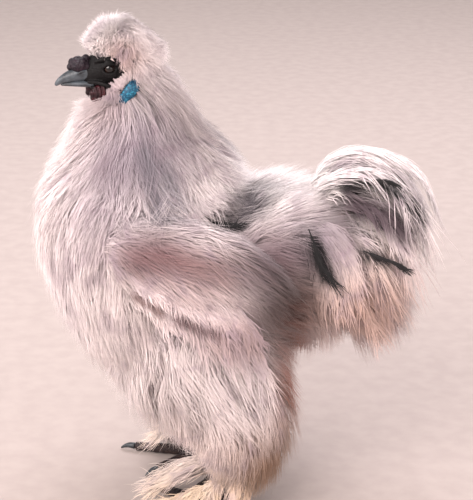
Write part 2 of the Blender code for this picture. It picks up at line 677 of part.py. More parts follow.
def torso(bird, finish):
    """The back and flanks, whose locks lie backward and fall at the sides, and the hanging fluff of the vent."""
    rng = random.Random(83)
    core, coat = Surface(TORSO_CORE), Surface(TORSO_COAT)

    def lie(along, angle):
        return 1.0, 0.9 * math.sin(angle - math.pi / 2)

    def hang(along, angle):
        return 1.0, 0.0

    saddle = [(0.42, 4, 0.38, 27, 0.95), (0.56, 5, 0.36, 27, 1.0), (0.68, 5, 0.32, 26, 1.0)]
    flank = [(0.14, 2, 0.32, 28, 0.9), (0.42, 2, 0.34, 28, 0.95)]
    vent = [(0.06, 4, 0.52, 29, 0.95), (0.28, 5, 0.50, 29, 1.0), (0.52, 5, 0.46, 28, 1.0)]
    locks = (coat_rows(rng, core, coat, saddle, quarter_turns(0.2, 1.8), lie, thickness=3.0)
             + coat_rows(rng, core, coat, flank, quarter_turns(2.0, 2.7), lie, thickness=3.0)
             + coat_rows(rng, core, coat, flank, quarter_turns(3.3, 4.0), lie, thickness=3.0)
             + coat_rows(rng, Surface(VENT_CORE), Surface(VENT_COAT), vent, quarter_turns(-0.1, 2.1), hang,
                         thickness=3.0))
    bird.add("torso", CORES["torso"], finish, locks=locks,
             clear_of=["breast", "neck", "wing_left", "wing_right", "tail"])


def thigh_locks(seed):
    """The left thigh's puff of down, which narrows to the hock."""
    rng = random.Random(seed)
    rows = [(0.08, 5, 0.5, 33, 1.0), (0.27, 5, 0.48, 33, 1.0), (0.46, 5, 0.46, 30, 1.0), (0.66, 5, 0.44, 26, 1.0)]

    def lie(along, angle):
        return 1.0, 0.1

    def beside_midline(point):
        return Vector((point.x, min(point.y, -11 * MM), point.z))

    return coat_rows(rng, Surface(THIGH_CORE), Surface(THIGH_COAT), rows, quarter_turns(0, 4), lie, beside_midline,
                     thickness=3.2)


ANKLE = Vector((-30, -41, 6))
TOES = [(math.radians(14), 48, 1.0), (math.radians(52), 38, 0.95), (math.radians(-42), 38, 0.95),
        (math.radians(-152), 22, 0.85), (math.radians(-118), 26, 0.85)]


def toe_form(angle, length, thick):
    """A toe from the ankle, at an angle outward from straight ahead, with a flat pad."""
    direction = Vector((-math.cos(angle), -math.sin(angle), 0))
    rows = []
    for s, height in ((0.0, 6.0), (0.25, 5.2), (0.6, 4.5), (1.0, 4.0)):
        size = thick * (1 - 0.25 * s)
        rows.append((*(ANKLE + direction * length * s)[:2], height * thick, 4.6 * size, 4.3 * size))
    return partial(tube, rows, 4, 6, UP.cross(direction), 0.0)


def claw_form(angle, length, thick):
    """A blunt, bent claw that carries on its toe."""
    direction = Vector((-math.cos(angle), -math.sin(angle), 0))
    base = ANKLE + direction * (length + 3)
    rows = []
    for step, height, wide in ((0, 4.0, 2.5), (4, 4.2, 2.1), (8, 3.0, 1.4), (11, 1.2, 0.6)):
        rows.append((*(base + direction * step)[:2], height * thick, wide * thick, wide * thick))
    return partial(tube, rows, 4, 5, UP.cross(direction), 0.0)


def foot_forms():
    """The left foot: a short shank and five toes with flat pads."""
    shank = [(1, -46, 44, 7.5, 8), (-6, -45, 34, 6, 6.5), (-17, -43, 21, 5.6, 6), (-27, -41, 10, 6, 6.5),
             (-31, -41, 5, 6, 5)]
    return [partial(tube, shank, 5, 7)] + [toe_form(*toe) for toe in TOES]


def foot_plume_locks(seed):
    """The feathers down the outer side of the left shank and over the toes."""
    rng = random.Random(seed)
    locks = []
    for j in range(6):
        t = j / 5
        root = (4 - 46 * t, -50, 41 - 32 * t)
        middle = (root[0] + 6 - 18 * t, -66 + 3 * t, root[2] - 2 + 6 * t)
        tip = (root[0] + 4 - 34 * t, -78 + 6 * t + rng.uniform(-4, 4), 7 + rng.uniform(0, 5))
        locks.append(vane([root, middle, tip], facing(-0.4 * t, -0.8, 1), 17, 2.4))
    for j in range(3):
        t = j / 2
        points = [(-6 - 8 * t, -50, 44 - 14 * t), (-36 - 4 * t, -38 - 18 * t, 36 - 8 * t),
                  (-64 - 6 * t, -30 - 26 * t, 20 - 3 * t + rng.uniform(-2, 2))]
        locks.append(vane(points, facing(-0.5, 0, 1), 18, 2.4))
    return locks


# The plain body under each coat, which the locks of the other nodes stay clear of.
CORES = {
    "neck": [partial(tube, NECK_CORE, 6, 12)],
    "breast": [partial(tube, BREAST_CORE, 6, 12)],
    "torso": [partial(tube, TORSO_CORE, 6, 14), partial(tube, VENT_CORE, 4, 10)],
    "wing_left": [partial(tube, WING_CORE, 5, 8, WING_ACROSS)],
    "tail": [partial(tube, TAIL_STUMP, 4, 8)],
    "thigh_left": [partial(tube, THIGH_CORE, 5, 10)],
    "foot_plumes_left": [partial(tube, FOOT_PAD, 4, 6)],
}
for node in ("wing", "thigh", "foot_plumes"):
    CORES[node + "_right"] = reflected(CORES[node + "_left"])


def build():
    clear_scene()
    plumage = material("plumage", PLUMAGE, 0.9)
    skin = material("mulberry_skin", SKIN, 0.55)
    horn = material("slate_horn", HORN, 0.4)
    wattle_skin = material("wattle_skin", WATTLE_SKIN, 0.5)
    lobe_skin = material("lobe_skin", LOBE_SKIN, 0.45)
    bird = Bird(CORES)
    eyes(bird, material("dark_eye", EYE_COLOUR, 0.15))
    head(bird, skin)
    beak(bird, horn)
    comb(bird, material("comb_skin", COMB_SKIN, 0.5))
    for name, side in (("left", 1), ("right", -1)):
        wattle(bird, "wattle_" + name, side, wattle_skin)
        earlobe(bird, "earlobe_" + name, side, lobe_skin)
        cheek(bird, "cheek_" + name, side, plumage)
    crest(bird, plumage)
    neck(bird, plumage)
    bird.add("wing_left", CORES["wing_left"], plumage, ["neck"], locks=wing_locks(91))
    bird.add("wing_right", CORES["wing_right"], plumage, ["neck"], locks=reflected(wing_locks(92)))
    breast(bird, plumage)
    bird.add("tail", CORES["tail"], plumage, ["wing_left", "wing_right"], locks=tail_locks())
    torso(bird, plumage)
    for name, turned, seed in (("left", list, 103), ("right", reflected, 104)):
        claws = ["claw_" + name + "_" + str(number) for number in range(1, len(TOES) + 1)]
        for claw, toe in zip(claws, TOES):
            bird.add(claw, turned([claw_form(*toe)]), horn)
        foot, plumes, thigh = "foot_" + name, "foot_plumes_" + name, "thigh_" + name
        bird.add(foot, turned(foot_forms()), skin, claws)
        bird.add(plumes, CORES[plumes], plumage, [foot, *claws], locks=turned(foot_plume_locks(seed)))
        bird.add(thigh, CORES[thigh], plumage, locks=turned(thigh_locks(seed)),
                 clear_of=["breast", "torso", "wing_left", "wing_right", "tail", foot, plumes])


build()
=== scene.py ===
# %% [markdown]
# A standing silkie cockerel
# A silkie is a small fowl whose feathers have no hooks to zip their barbs together, so its plumage hangs
# like silk floss. Its skin is black, its comb is a low mulberry lump, and its ear lobes are turquoise.
# This lesson dresses a packed set of solids with that plumage. Every strand is real mesh, because hair
# curves and particles are lost when a model is exported.

import math

import bpy
import numpy as np
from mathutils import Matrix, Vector


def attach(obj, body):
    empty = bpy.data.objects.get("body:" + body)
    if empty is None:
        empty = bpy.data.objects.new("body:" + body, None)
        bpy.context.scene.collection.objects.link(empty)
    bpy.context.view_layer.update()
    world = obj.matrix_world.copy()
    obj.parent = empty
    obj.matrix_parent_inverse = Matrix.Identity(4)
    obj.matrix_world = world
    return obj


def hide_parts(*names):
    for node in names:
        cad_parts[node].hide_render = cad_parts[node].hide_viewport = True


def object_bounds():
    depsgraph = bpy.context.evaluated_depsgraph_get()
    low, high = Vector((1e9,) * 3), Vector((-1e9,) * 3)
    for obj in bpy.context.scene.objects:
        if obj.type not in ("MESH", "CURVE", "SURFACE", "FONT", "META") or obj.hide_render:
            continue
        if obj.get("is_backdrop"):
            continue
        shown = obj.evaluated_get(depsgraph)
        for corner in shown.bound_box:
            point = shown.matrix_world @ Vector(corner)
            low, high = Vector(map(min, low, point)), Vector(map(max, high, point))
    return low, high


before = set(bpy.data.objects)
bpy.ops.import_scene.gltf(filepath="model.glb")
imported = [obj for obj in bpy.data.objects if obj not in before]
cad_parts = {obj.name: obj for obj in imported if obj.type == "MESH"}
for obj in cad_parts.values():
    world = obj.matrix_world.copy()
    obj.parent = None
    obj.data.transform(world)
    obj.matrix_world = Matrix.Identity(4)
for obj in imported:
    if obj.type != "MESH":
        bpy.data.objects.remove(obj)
solid_low, solid_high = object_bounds()
print("solids measure", [round(1000 * (b - a)) for a, b in zip(solid_low, solid_high)], "mm")

# %% [markdown]
# Units and directions
# The solids were drawn in millimetres around a point under the back, and then moved so that the bird
# stands over the origin. The same tables are repeated here, so each lock lands where its solid is. One
# function takes points from the tables to the scene, and one turns arrows into unit arrows.

# %% From the tables to the scene
BASE = np.array([4.5, 0.0, 0.0])
RIGHTWARD, UP = np.array([0.0, 1.0, 0.0]), np.array([0.0, 0.0, 1.0])


def to_scene(points):
    return (np.asarray(points) - BASE) * 0.001


def unit(arrows):
    return arrows / np.maximum(np.linalg.norm(arrows, axis=-1, keepdims=True), 1e-9)


# %% [markdown]
# The head turns a little to the camera and dips. Its comb, beak and wattles are easier to place in the
# head's own directions: so many millimetres forward, to its left, and up from between the eyes.

# %% The head's directions
HEAD_CENTRE = np.array([-89.5, -2.0, 318.0])
TURN, DIP = math.radians(15), math.radians(4)
LEVEL = np.array([-math.cos(TURN), -math.sin(TURN), 0.0])
FORWARD = LEVEL * math.cos(DIP) - UP * math.sin(DIP)
LEFT = np.cross(UP, LEVEL)
CROWN = np.cross(FORWARD, LEFT)


def on_head(forward, left, up):
    return HEAD_CENTRE + FORWARD * forward + LEFT * left + CROWN * up


def head_rows(rows):
    return [(*on_head(*row[:3]), *row[3:]) for row in rows]


print("the beak points along", FORWARD.round(2))

# %% [markdown]
# Smooth forms from a few stations
# Flesh and coat are both tubes through a few stations: a centre, a half width and a half depth. A
# Catmull-Rom curve runs through the stations. A form is then read at any place along it and any angle
# round it, and NumPy reads many thousands of places in one call, which is what makes a coat of strands
# quick to grow.

# %% A form that can be read anywhere


def smooth_rows(rows, count):
    rows = np.asarray(rows, float)
    padded = np.vstack([2 * rows[0] - rows[1], rows, 2 * rows[-1] - rows[-2]])
    place = np.linspace(0, len(rows) - 1, count)
    i = np.minimum(place.astype(int), len(rows) - 2)
    t = (place - i)[:, None]
    a, b, c, d = (padded[i + k] for k in range(4))
    return (2 * b + (c - a) * t + (2 * a - 5 * b + 4 * c - d) * t**2 + (3 * b - a - 3 * c + d) * t**3) / 2


class Form:
    STEPS = 97

    def __init__(self, stations, across=RIGHTWARD):
        rows = smooth_rows(stations, self.STEPS)
        k = np.arange(self.STEPS)
        self.centres, self.sizes = rows[:, :3], np.maximum(rows[:, 3:5], 0.3)
        axis = unit(self.centres[np.minimum(k + 2, self.STEPS - 1)] - self.centres[np.maximum(k - 2, 0)])
        self.wide = unit(across - axis * (axis @ across)[:, None])
        self.deep = np.cross(axis, self.wide)

    def ring(self, k, angle, swell):
        half = self.sizes[k]
        return (self.centres[k] + self.wide[k] * ((half[..., 0] + swell) * np.cos(angle))[..., None]
                + self.deep[k] * ((half[..., 1] + swell) * np.sin(angle))[..., None])

    def at(self, along, angle, swell=0.0):
        place = np.asarray(along, float) * (self.STEPS - 1)
        k = np.clip(place.astype(int), 0, self.STEPS - 2)
        share = (place - k)[..., None]
        return self.ring(k, angle, swell) * (1 - share) + self.ring(k + 1, angle, swell) * share


# %% [markdown]
# The stations
# Each core is the flesh under the feathers, and each coat is the outer surface of the plumage over it. The
# angle round a body form starts at the bird's right side and goes over its back. These are the solids' own
# numbers, but for the fluff under the tail, which the solids show as part of the tail's locks.

# %% Flesh and coat of the body
NECK = (Form([(-78, 2, 312, 11, 13), (-75, 1.5, 300, 14, 17), (-71, 0, 285, 19, 23), (-68, 0, 268, 26, 31),
              (-65, 0, 249, 35, 40), (-61, 0, 229, 44, 46), (-58, 0, 212, 46, 44), (-56, 0, 200, 34, 32)]),
        Form([(-69, 2, 309, 22, 24), (-65, 1, 298, 30, 33), (-65, 0, 286, 40, 45), (-67, 0, 272, 51, 55),
              (-67, 0, 256, 64, 67), (-66, 0, 241, 78, 76), (-64, 0, 226, 91, 82), (-60, 0, 210, 100, 84)]))
BREAST = (Form([(-78, 0, 238, 38, 34), (-82, 0, 224, 50, 43), (-84, 0, 204, 60, 46), (-79, 0, 180, 64, 44),
                (-68, 0, 156, 60, 40), (-58, 0, 134, 50, 34), (-50, 0, 116, 36, 24)]),
          Form([(-80, 0, 246, 66, 56), (-84, 0, 228, 80, 64), (-84, 0, 204, 88, 66), (-80, 0, 176, 91, 63),
                (-71, 0, 146, 87, 58), (-59, 0, 116, 74, 50), (-45, 0, 88, 54, 40)]))
TORSO = (Form([(-66, 0, 178, 56, 46), (-40, 0, 174, 66, 52), (-12, 0, 172, 65, 51), (18, 0, 178, 57, 44),
               (42, 0, 188, 43, 34), (60, 0, 198, 20, 17)]),
         Form([(-70, 0, 163, 72, 66), (-42, 0, 161, 75, 72), (-12, 0, 163, 75, 75), (22, 0, 170, 72, 74),
               (52, 0, 178, 62, 70), (80, 0, 183, 46, 60)]))
VENT = (Form([(26, 0, 186, 36, 28), (34, 0, 166, 38, 32), (37, 0, 146, 32, 28), (37, 0, 131, 18, 17)]),
        Form([(30, 0, 182, 54, 44), (42, 0, 156, 57, 48), (46, 0, 133, 50, 41), (44, 0, 112, 36, 30)]))
TAIL_STUMP = Form([(40, 0, 198, 26, 20), (56, 0, 207, 25, 20), (70, 0, 216, 19, 16), (82, 0, 223, 9, 8)])

# %% Flesh and coat of one wing, one thigh and the crest
WING_ACROSS = np.array([0, 0.94, -0.34])
WING = (Form([(-88, -68, 206, 4, 10), (-70, -75, 205, 7, 19), (-44, -79, 199, 8, 25),
              (-16, -78, 189, 8, 25), (6, -74, 178, 6, 18), (18, -70, 170, 4, 8)], WING_ACROSS),
        Form([(-92, -68, 207, 13, 16), (-72, -75, 205, 16, 28), (-44, -79, 198, 18, 35),
              (-12, -78, 186, 18, 36), (14, -74, 172, 15, 30), (32, -70, 158, 10, 22)], WING_ACROSS))
THIGH = (Form([(-32, -34, 140, 26, 42), (-24, -40, 118, 30, 44), (-11, -45, 94, 28, 36),
               (0, -46, 72, 21, 27), (4, -46, 54, 15, 18), (1, -46, 42, 9, 10)]),
         Form([(-36, -40, 146, 42, 66), (-26, -46, 118, 46, 68), (-7, -48, 92, 48, 60),
               (4, -49, 66, 44, 46), (4, -48, 42, 37, 36), (-2, -47, 26, 28, 24)]))
CREST = (Form(head_rows([(-6, 0, 22, 4, 4), (-8, 0, 20, 12, 13), (-10, 0, 14, 16, 19),
                         (-12, 0, 6, 17, 20), (-15, 0, -2, 14, 16), (-17, 0, -8, 8, 9)]), LEFT),
         Form(head_rows([(-15, 0, 35, 4, 4), (-14.5, 0, 32.5, 13, 12), (-12.5, 0, 27, 21, 20),
                         (-11, 0, 18.5, 29, 27), (-10.5, 0, 9, 34, 33), (-12.5, 0, 0, 35, 34),
                         (-15, 0, -11, 30, 31)]), LEFT))

# %% Flesh and coat of the fluff under the tail
UNDER_TAIL = (Form([(50, 0, 200, 16, 12), (64, 0, 188, 22, 16), (78, 0, 170, 24, 18),
                    (88, 0, 152, 18, 14), (92, 0, 138, 8, 7)]),
              Form([(56, 0, 190, 34, 30), (76, 0, 178, 46, 36), (94, 0, 160, 50, 38),
                    (104, 0, 138, 44, 34), (106, 0, 118, 30, 24)]))
COATED = {"neck": NECK, "breast": BREAST, "torso": TORSO, "vent": VENT, "wing": WING, "thigh": THIGH,
          "crest": CREST, "under tail": UNDER_TAIL}
for name, (core, coat) in COATED.items():
    print(name, "coat stands", (coat.sizes - core.sizes).mean(axis=0).round(), "mm off the flesh")

# %% [markdown]
# Colour
# Colours are written as sRGB hex values, as a paint chart gives them. Blender shades in linear light, so
# one function does that conversion for every material.

# %% From sRGB hex to linear light


def linear(shade):
    parts = np.array([int(shade[k : k + 2], 16) for k in (1, 3, 5)]) / 255
    return np.where(parts <= 0.04045, parts / 12.92, ((parts + 0.055) / 1.055) ** 2.4)


# %% [markdown]
# Markings
# This bird is a splash: off-white, with a few inky feathers where the pattern broke through, lavender-grey
# floss in the hackle, and warm stains of dust and oil under the tail and down the legs. A few marks are
# painted shade: a shadow under the throat, a shaded middle on the side of the crest, a shadow line under the
# wing's lower edge, and a dark patch between wing and tail that is partly rust and partly painted shadow.
# The markings are a few soft clouds and strokes, each at a place on the body. A cloud is mirrored on the
# other side, and a stroke stays on its own side. Skin and plumage both ask the same function, so they agree,
# and nothing is read from a picture.

# %% Clouds of colour: shade, centre, radii in mm, strength
OFF_WHITE = linear("#f6e9e7")
CLOUDS = [
    ("#a396a2", (-70, 54, 268), (26, 36, 30), 0.85),
    ("#b5a9b2", (-82, 60, 232), (24, 40, 26), 0.55),
    ("#978993", (-40, 54, 268), (14, 40, 26), 0.60),
    ("#b9abb1", (-112, 40, 205), (16, 40, 60), 0.40),
    ("#fbf0ef", (-34, 70, 236), (30, 40, 14), 0.70),
    ("#6f4b4e", (-54, 92, 207), (28, 24, 15), 0.95),
    ("#84615f", (-18, 94, 197), (22, 24, 13), 0.85),
    ("#c3a8aa", (-10, 98, 150), (50, 16, 22), 0.55),
    ("#f8e8e8", (-6, 78, 218), (16, 18, 8), 0.80),
    ("#ecd6d6", (-38, 97, 182), (24, 22, 11), 0.50),
    ("#786066", (28, 64, 198), (26, 30, 17), 0.95),
    # Dark patch between wing and tail: partly rust, partly painted shadow under the wing's end.
    ("#35140e", (37, 70, 160), (24, 46, 27), 1.00),
    ("#a38886", (2, 97, 148), (20, 18, 14), 0.65),
    # Painted shade on the middle of the crest's side, in a tan tone.
    ("#b3958f", tuple(on_head(-14, 0, 10) + [0, 30, 0]), (13, 18, 12), 0.85),
    # Painted shadow under the throat.
    ("#8a7072", (-92, 24, 290), (14, 18, 12), 0.50),
    ("#b09ca1", (-86, 14, 303), (12, 10, 8), 0.80),
    ("#8d8089", (66, 44, 206), (22, 30, 18), 0.75),
    ("#bf9581", (96, 34, 148), (32, 46, 30), 0.80),
    ("#78371a", (42, 58, 106), (13, 38, 36), 1.00),
    ("#dcc2b6", (-8, 46, 58), (46, 44, 24), 0.60),
    ("#d6b78e", (-10, 60, 14), (70, 40, 16), 0.75),
    ("#865a30", (26, 58, 42), (24, 38, 24), 0.95),
    ("#fff8f6", (28, 0, 246), (40, 50, 18), 0.90),
]
SMOKE, INK = linear("#7a6d78"), linear("#060406")

# %% Strokes of colour: shade, start, end, radius in mm
STROKES = [
    ("#878189", (-62, -52, 268), (-50, -68, 230), 6.5),
    ("#979197", (-50, -50, 262), (-36, -74, 234), 5.0),
    ("#0c090d", (-12, -52, 221), (4, -48, 220), 6.5),
    ("#3d363d", (4, -42, 228), (16, -20, 230), 9.0),
    ("#0c090d", (51, -50, 210), (62, -57, 182), 5.0),
    ("#121013", (76, -26, 236), (106, -30, 238), 5.0),
    ("#121013", (106, -30, 238), (129, -24, 216), 5.0),
    ("#121013", (90, -37, 191), (114, -40, 186), 4.0),
    ("#55474d", (82, -30, 224), (120, -30, 206), 9.0),
    ("#8a7472", (-68, -92, 181), (-60, -94, 177), 3.5),
    ("#8a7472", (-54, -94, 174), (-50, -95, 170), 3.0),
    # Painted shadow: a dark line under the wing's lower edge.
    ("#6f5a5c", (-40, -98, 166), (-12, -98, 155), 3.5),
    ("#1a151a", (-30, 66, 222), (-12, 68, 214), 5.0),
    ("#5f555b", (16, 62, 224), (34, 56, 214), 8.0),
    ("#1a151a", (66, 50, 206), (84, 52, 170), 3.6),
    ("#1d181d", (96, 20, 240), (130, 26, 214), 3.6),
]


# %% The colour at any point
CLOUD_FALL = 0.9
STROKE_REACH, STROKE_FADE = 1.6, 0.9


def markings(points, ragged=0.0):
    """The plumage's colour in linear light at points in mm. Ragged moves a stroke's edge by so many mm."""
    shade = np.broadcast_to(OFF_WHITE, points.shape).copy()
    folded = points * (1, 0, 1) + np.abs(points) * (0, 1, 0)
    for colour, centre, radii, strength in CLOUDS:
        far = np.sum(((folded - centre) / radii) ** 2, axis=-1)
        bare = 1 - np.exp(-CLOUD_FALL * far)
        share = strength * (1 - bare**2)[..., None]
        shade += (linear(colour) - shade) * share
    for colour, start, end, radius in STROKES:
        start, line = np.array(start, float), np.subtract(end, start)
        place = np.clip((points - start) @ line / (line @ line), 0, 1)
        apart = (points - start - place[..., None] * line) * (1, 0.5, 1)
        far = np.linalg.norm(apart, axis=-1) + ragged
        share = np.clip((STROKE_REACH * radius - far) / (STROKE_FADE * radius), 0, 1)[..., None]
        shade += (linear(colour) - shade) * share
    return shade


print(len(CLOUDS), "clouds and", len(STROKES), "strokes of colour")

# %% [markdown]
# One function for nodes
# A material is a graph of nodes. Every node is added in the same way: its kind, its settings, and its
# inputs, each of which is a number or another node's output.

# %% Add a node


def add_node(tree, kind, settings=None, inputs=None):
    node = tree.nodes.new("ShaderNode" + kind)
    for name, value in (settings or {}).items():
        setattr(node, name, value)
    for name, value in (inputs or {}).items():
        if isinstance(value, bpy.types.NodeSocket):
            tree.links.new(value, node.inputs[name])
        else:
            node.inputs[name].default_value = value
    return node


def new_material(name):
    made = bpy.data.materials.new(name)
    made.use_nodes = True
    tree = made.node_tree
    return made, tree, tree.nodes["Principled BSDF"]


def rgba(shade):
    return (*linear(shade), 1.0)


# %% [markdown]
# Silk floss
# A feather is keratin, like hair: IOR about 1.55. Unhooked barbs scatter light like carded silk, so the
# floss is rough, with a soft sheen where strands turn away. Its colour comes from the markings, stored on
# each strand's points, and a fine noise makes neighbouring strands differ. Real barbs are 0.03 mm thick.
# Each strand here stands for a pinch of them, so the noise has a grain of 1.5 mm. A second, slow noise
# darkens the white towards lavender-grey in drifts about 16 mm across: painted shade, spread at random, as
# falls between clumped tufts. It only darkens, so that it can't bleach an inky feather.

# %% Keratin floss, unhooked and carded
BARB_GRAIN_MM, DRIFT_SHADE_MM = 1.54, 16.1
floss, tree, shader = new_material("silk_floss")
marked = add_node(tree, "Attribute", {"attribute_name": "markings"})
place = add_node(tree, "TexCoord")
grain = add_node(tree, "TexNoise", None,
                 {"Vector": place.outputs["Object"], "Scale": 1000 / BARB_GRAIN_MM, "Detail": 3.0})
depth = add_node(tree, "MapRange", None, {0: grain.outputs["Fac"], 1: 0.3, 2: 0.7, 3: 0.93, 4: 1.04})
drifts = add_node(tree, "TexNoise", None, {"Vector": place.outputs["Object"], "Scale": 1000 / DRIFT_SHADE_MM,
                                           "Detail": 3.0, "Distortion": 0.8})
share = add_node(tree, "MapRange", None, {0: drifts.outputs["Fac"], 1: 0.50, 2: 0.66, 3: 0.0, 4: 0.5})
# Painted shade: slow drifts darken the white towards lavender-grey.
shade_drifted = add_node(tree, "Mix", {"data_type": "RGBA", "blend_type": "DARKEN"},
                 {0: share.outputs[0], 6: marked.outputs["Color"], 7: rgba("#a08d98")})
varied = add_node(tree, "VectorMath", {"operation": "SCALE"},
                  {0: shade_drifted.outputs[2], "Scale": depth.outputs[0]})
tree.links.new(varied.outputs[0], shader.inputs["Base Color"])
rough = add_node(tree, "MapRange", None, {0: grain.outputs["Fac"], 1: 0.3, 2: 0.7, 3: 0.62, 4: 0.78})
tree.links.new(rough.outputs[0], shader.inputs["Roughness"])
ripple = add_node(tree, "Bump", None, {"Height": grain.outputs["Fac"], "Strength": 0.25, "Distance": 0.0003})
tree.links.new(ripple.outputs[0], shader.inputs["Normal"])
shader.inputs["IOR"].default_value = 1.55
shader.inputs["Specular IOR Level"].default_value = 0.25
shader.inputs["Sheen Weight"].default_value = 0.25
shader.inputs["Sheen Roughness"].default_value = 0.5
print("floss has a grain of", BARB_GRAIN_MM, "mm and drifts of", DRIFT_SHADE_MM, "mm")

# %% [markdown]
# Under-down
# The body's skin never shows: short dense down covers it between the long feathers. The skin mesh
# therefore wears the same markings, a little darker as it lies in shade, and a coarse bump stands for the
# nap of the down. Its flocks are about 2.6 mm across.

# %% Keratin down, dense and matt
NAP_MM = 2.63
down, tree, shader = new_material("under_down")
marked = add_node(tree, "Attribute", {"attribute_name": "markings"})
place = add_node(tree, "TexCoord")
nap = add_node(tree, "TexNoise", None,
               {"Vector": place.outputs["Object"], "Scale": 1000 / NAP_MM, "Detail": 4.0})
depth = add_node(tree, "MapRange", None, {0: nap.outputs["Fac"], 1: 0.3, 2: 0.7, 3: 0.75, 4: 0.98})
shaded = add_node(tree, "VectorMath", {"operation": "SCALE"},
                  {0: marked.outputs["Color"], "Scale": depth.outputs[0]})
tree.links.new(shaded.outputs[0], shader.inputs["Base Color"])
furrow = add_node(tree, "Bump", None, {"Height": nap.outputs["Fac"], "Strength": 0.8, "Distance": 0.002})
tree.links.new(furrow.outputs[0], shader.inputs["Normal"])
shader.inputs["Roughness"].default_value = 0.9
shader.inputs["IOR"].default_value = 1.55
shader.inputs["Specular IOR Level"].default_value = 0.1
print("down has flocks of", NAP_MM, "mm")

# %% [markdown]
# Mulberry skin
# The bare skin of a silkie's face is black with a purple cast, because its pigment cells lie deep. It is
# leathery and covered in grains about half a millimetre across, drawn here at 0.8 mm and more so that they
# show. Living skin has an IOR near 1.4. One small recipe makes the skin of the face, comb, wattles, lobes
# and feet: a colour that mottles between two shades, and a grain. Comb, wattles and lobes are full of
# blood and kept oiled by preening, so they get a thin coat, and the dusty face and feet get none.

# %% Living skin: pebbled leather with a soft, slightly moist gloss


def skin_finish(name, dark, light, grain_mm, roughness, coat=0.0, mottle_mm=4.0):
    made, tree, shader = new_material(name)
    place = add_node(tree, "TexCoord")
    patches = add_node(tree, "TexNoise", None,
                       {"Vector": place.outputs["Object"], "Scale": 1000 / mottle_mm, "Detail": 4.0})
    pebbles = add_node(tree, "TexVoronoi", None,
                       {"Vector": place.outputs["Object"], "Scale": 1000 / grain_mm})
    edge = add_node(tree, "MapRange", None, {0: pebbles.outputs["Distance"], 1: 0.0, 2: 0.8, 3: 1.0, 4: 0.0})
    share = add_node(tree, "MapRange", None, {0: patches.outputs["Fac"], 1: 0.35, 2: 0.68})
    # The patches mottle the skin's own colour. The pebbles add painted light and shade: their tops are
    # lighter and the creases between them darker.
    lit = add_node(tree, "Math", {"operation": "MULTIPLY"}, {0: share.outputs[0], 1: edge.outputs[0]})
    colour = add_node(tree, "Mix", {"data_type": "RGBA"}, {0: lit.outputs[0], 6: rgba(dark), 7: rgba(light)})
    tree.links.new(colour.outputs[2], shader.inputs["Base Color"])
    worn = add_node(tree, "MapRange", None,
                    {0: patches.outputs["Fac"], 1: 0.3, 2: 0.7, 3: roughness - 0.08, 4: roughness + 0.1})
    tree.links.new(worn.outputs[0], shader.inputs["Roughness"])
    bump = add_node(tree, "Bump", None, {"Height": edge.outputs[0], "Strength": 0.6, "Distance": 0.0004})
    tree.links.new(bump.outputs[0], shader.inputs["Normal"])
    shader.inputs["IOR"].default_value = 1.4
    shader.inputs["Specular IOR Level"].default_value = 0.35
    shader.inputs["Coat Weight"].default_value = coat
    shader.inputs["Coat Roughness"].default_value = 0.3
    return made


face_skin = skin_finish("mulberry_face_skin", "#050405", "#120e11", 0.8, 0.6)
comb_skin = skin_finish("walnut_comb_skin", "#140d15", "#3c2a35", 1.0, 0.45, 0.1)
wattle_skin = skin_finish("wattle_skin", "#1c070d", "#5a1d27", 0.9, 0.38, 0.2)
lobe_skin = skin_finish("turquoise_lobe_skin", "#133752", "#45aac8", 1.1, 0.4, 0.1, 3.4)
foot_skin = skin_finish("slate_foot_skin", "#241b1e", "#56463f", 1.6, 0.55, 0.0, 6.0)
print("five skins, from", face_skin.name, "to", foot_skin.name)

# %% [markdown]
# Slate horn
# Beak and claws are keratin grown in layers from the root, so fine growth lines run across them and faint
# streaks run along. Use keeps it smooth but scratched, so it has a dull gloss. The lines are 0.4 mm apart
# on a beak, drawn here at 1.75 mm so that they show. A wave texture has 20 radians of wave to each unit of
# its scale, so the scale follows from the spacing. The dark and pale clouds in the horn are about 6 mm
# across.

# %% Keratin horn, layered and polished by use
GROWTH_LINE_MM, HORN_CLOUD_MM = 1.745, 6.25
WAVE_RADIANS = 20
horn, tree, shader = new_material("slate_horn")
place = add_node(tree, "TexCoord")
layers = add_node(tree, "TexWave", {"bands_direction": "X"},
                  {"Vector": place.outputs["Object"], "Distortion": 4.0, "Detail": 2.0,
                   "Scale": 2 * math.pi / WAVE_RADIANS * 1000 / GROWTH_LINE_MM})
cloudy = add_node(tree, "TexNoise", None,
                  {"Vector": place.outputs["Object"], "Scale": 1000 / HORN_CLOUD_MM, "Detail": 3.0})
share = add_node(tree, "MapRange", None, {0: cloudy.outputs["Fac"], 1: 0.35, 2: 0.65})
colour = add_node(tree, "Mix", {"data_type": "RGBA"},
                  {0: share.outputs[0], 6: rgba("#1b1f24"), 7: rgba("#4a5258")})
tree.links.new(colour.outputs[2], shader.inputs["Base Color"])
worn = add_node(tree, "MapRange", None, {0: layers.outputs["Fac"], 1: 0.0, 2: 1.0, 3: 0.40, 4: 0.52})
tree.links.new(worn.outputs[0], shader.inputs["Roughness"])
ridges = add_node(tree, "Bump", None,
                  {"Height": layers.outputs["Fac"], "Strength": 0.05, "Distance": 0.0002})
tree.links.new(ridges.outputs[0], shader.inputs["Normal"])
shader.inputs["IOR"].default_value = 1.55
print("horn has growth lines every", GROWTH_LINE_MM, "mm")

# %% [markdown]
# The eye
# A silkie's iris is so dark that it hardly parts from the pupil. The eye is a wet ball: the cornea has an
# IOR of 1.38 and a mirror-like tear film. The iris is drawn by its distance from the eye's own axis, and
# its fibres, really finer, are drawn 0.7 mm apart.

# %% Wet eye, brown-black iris
IRIS_FIBRE_MM = 0.714


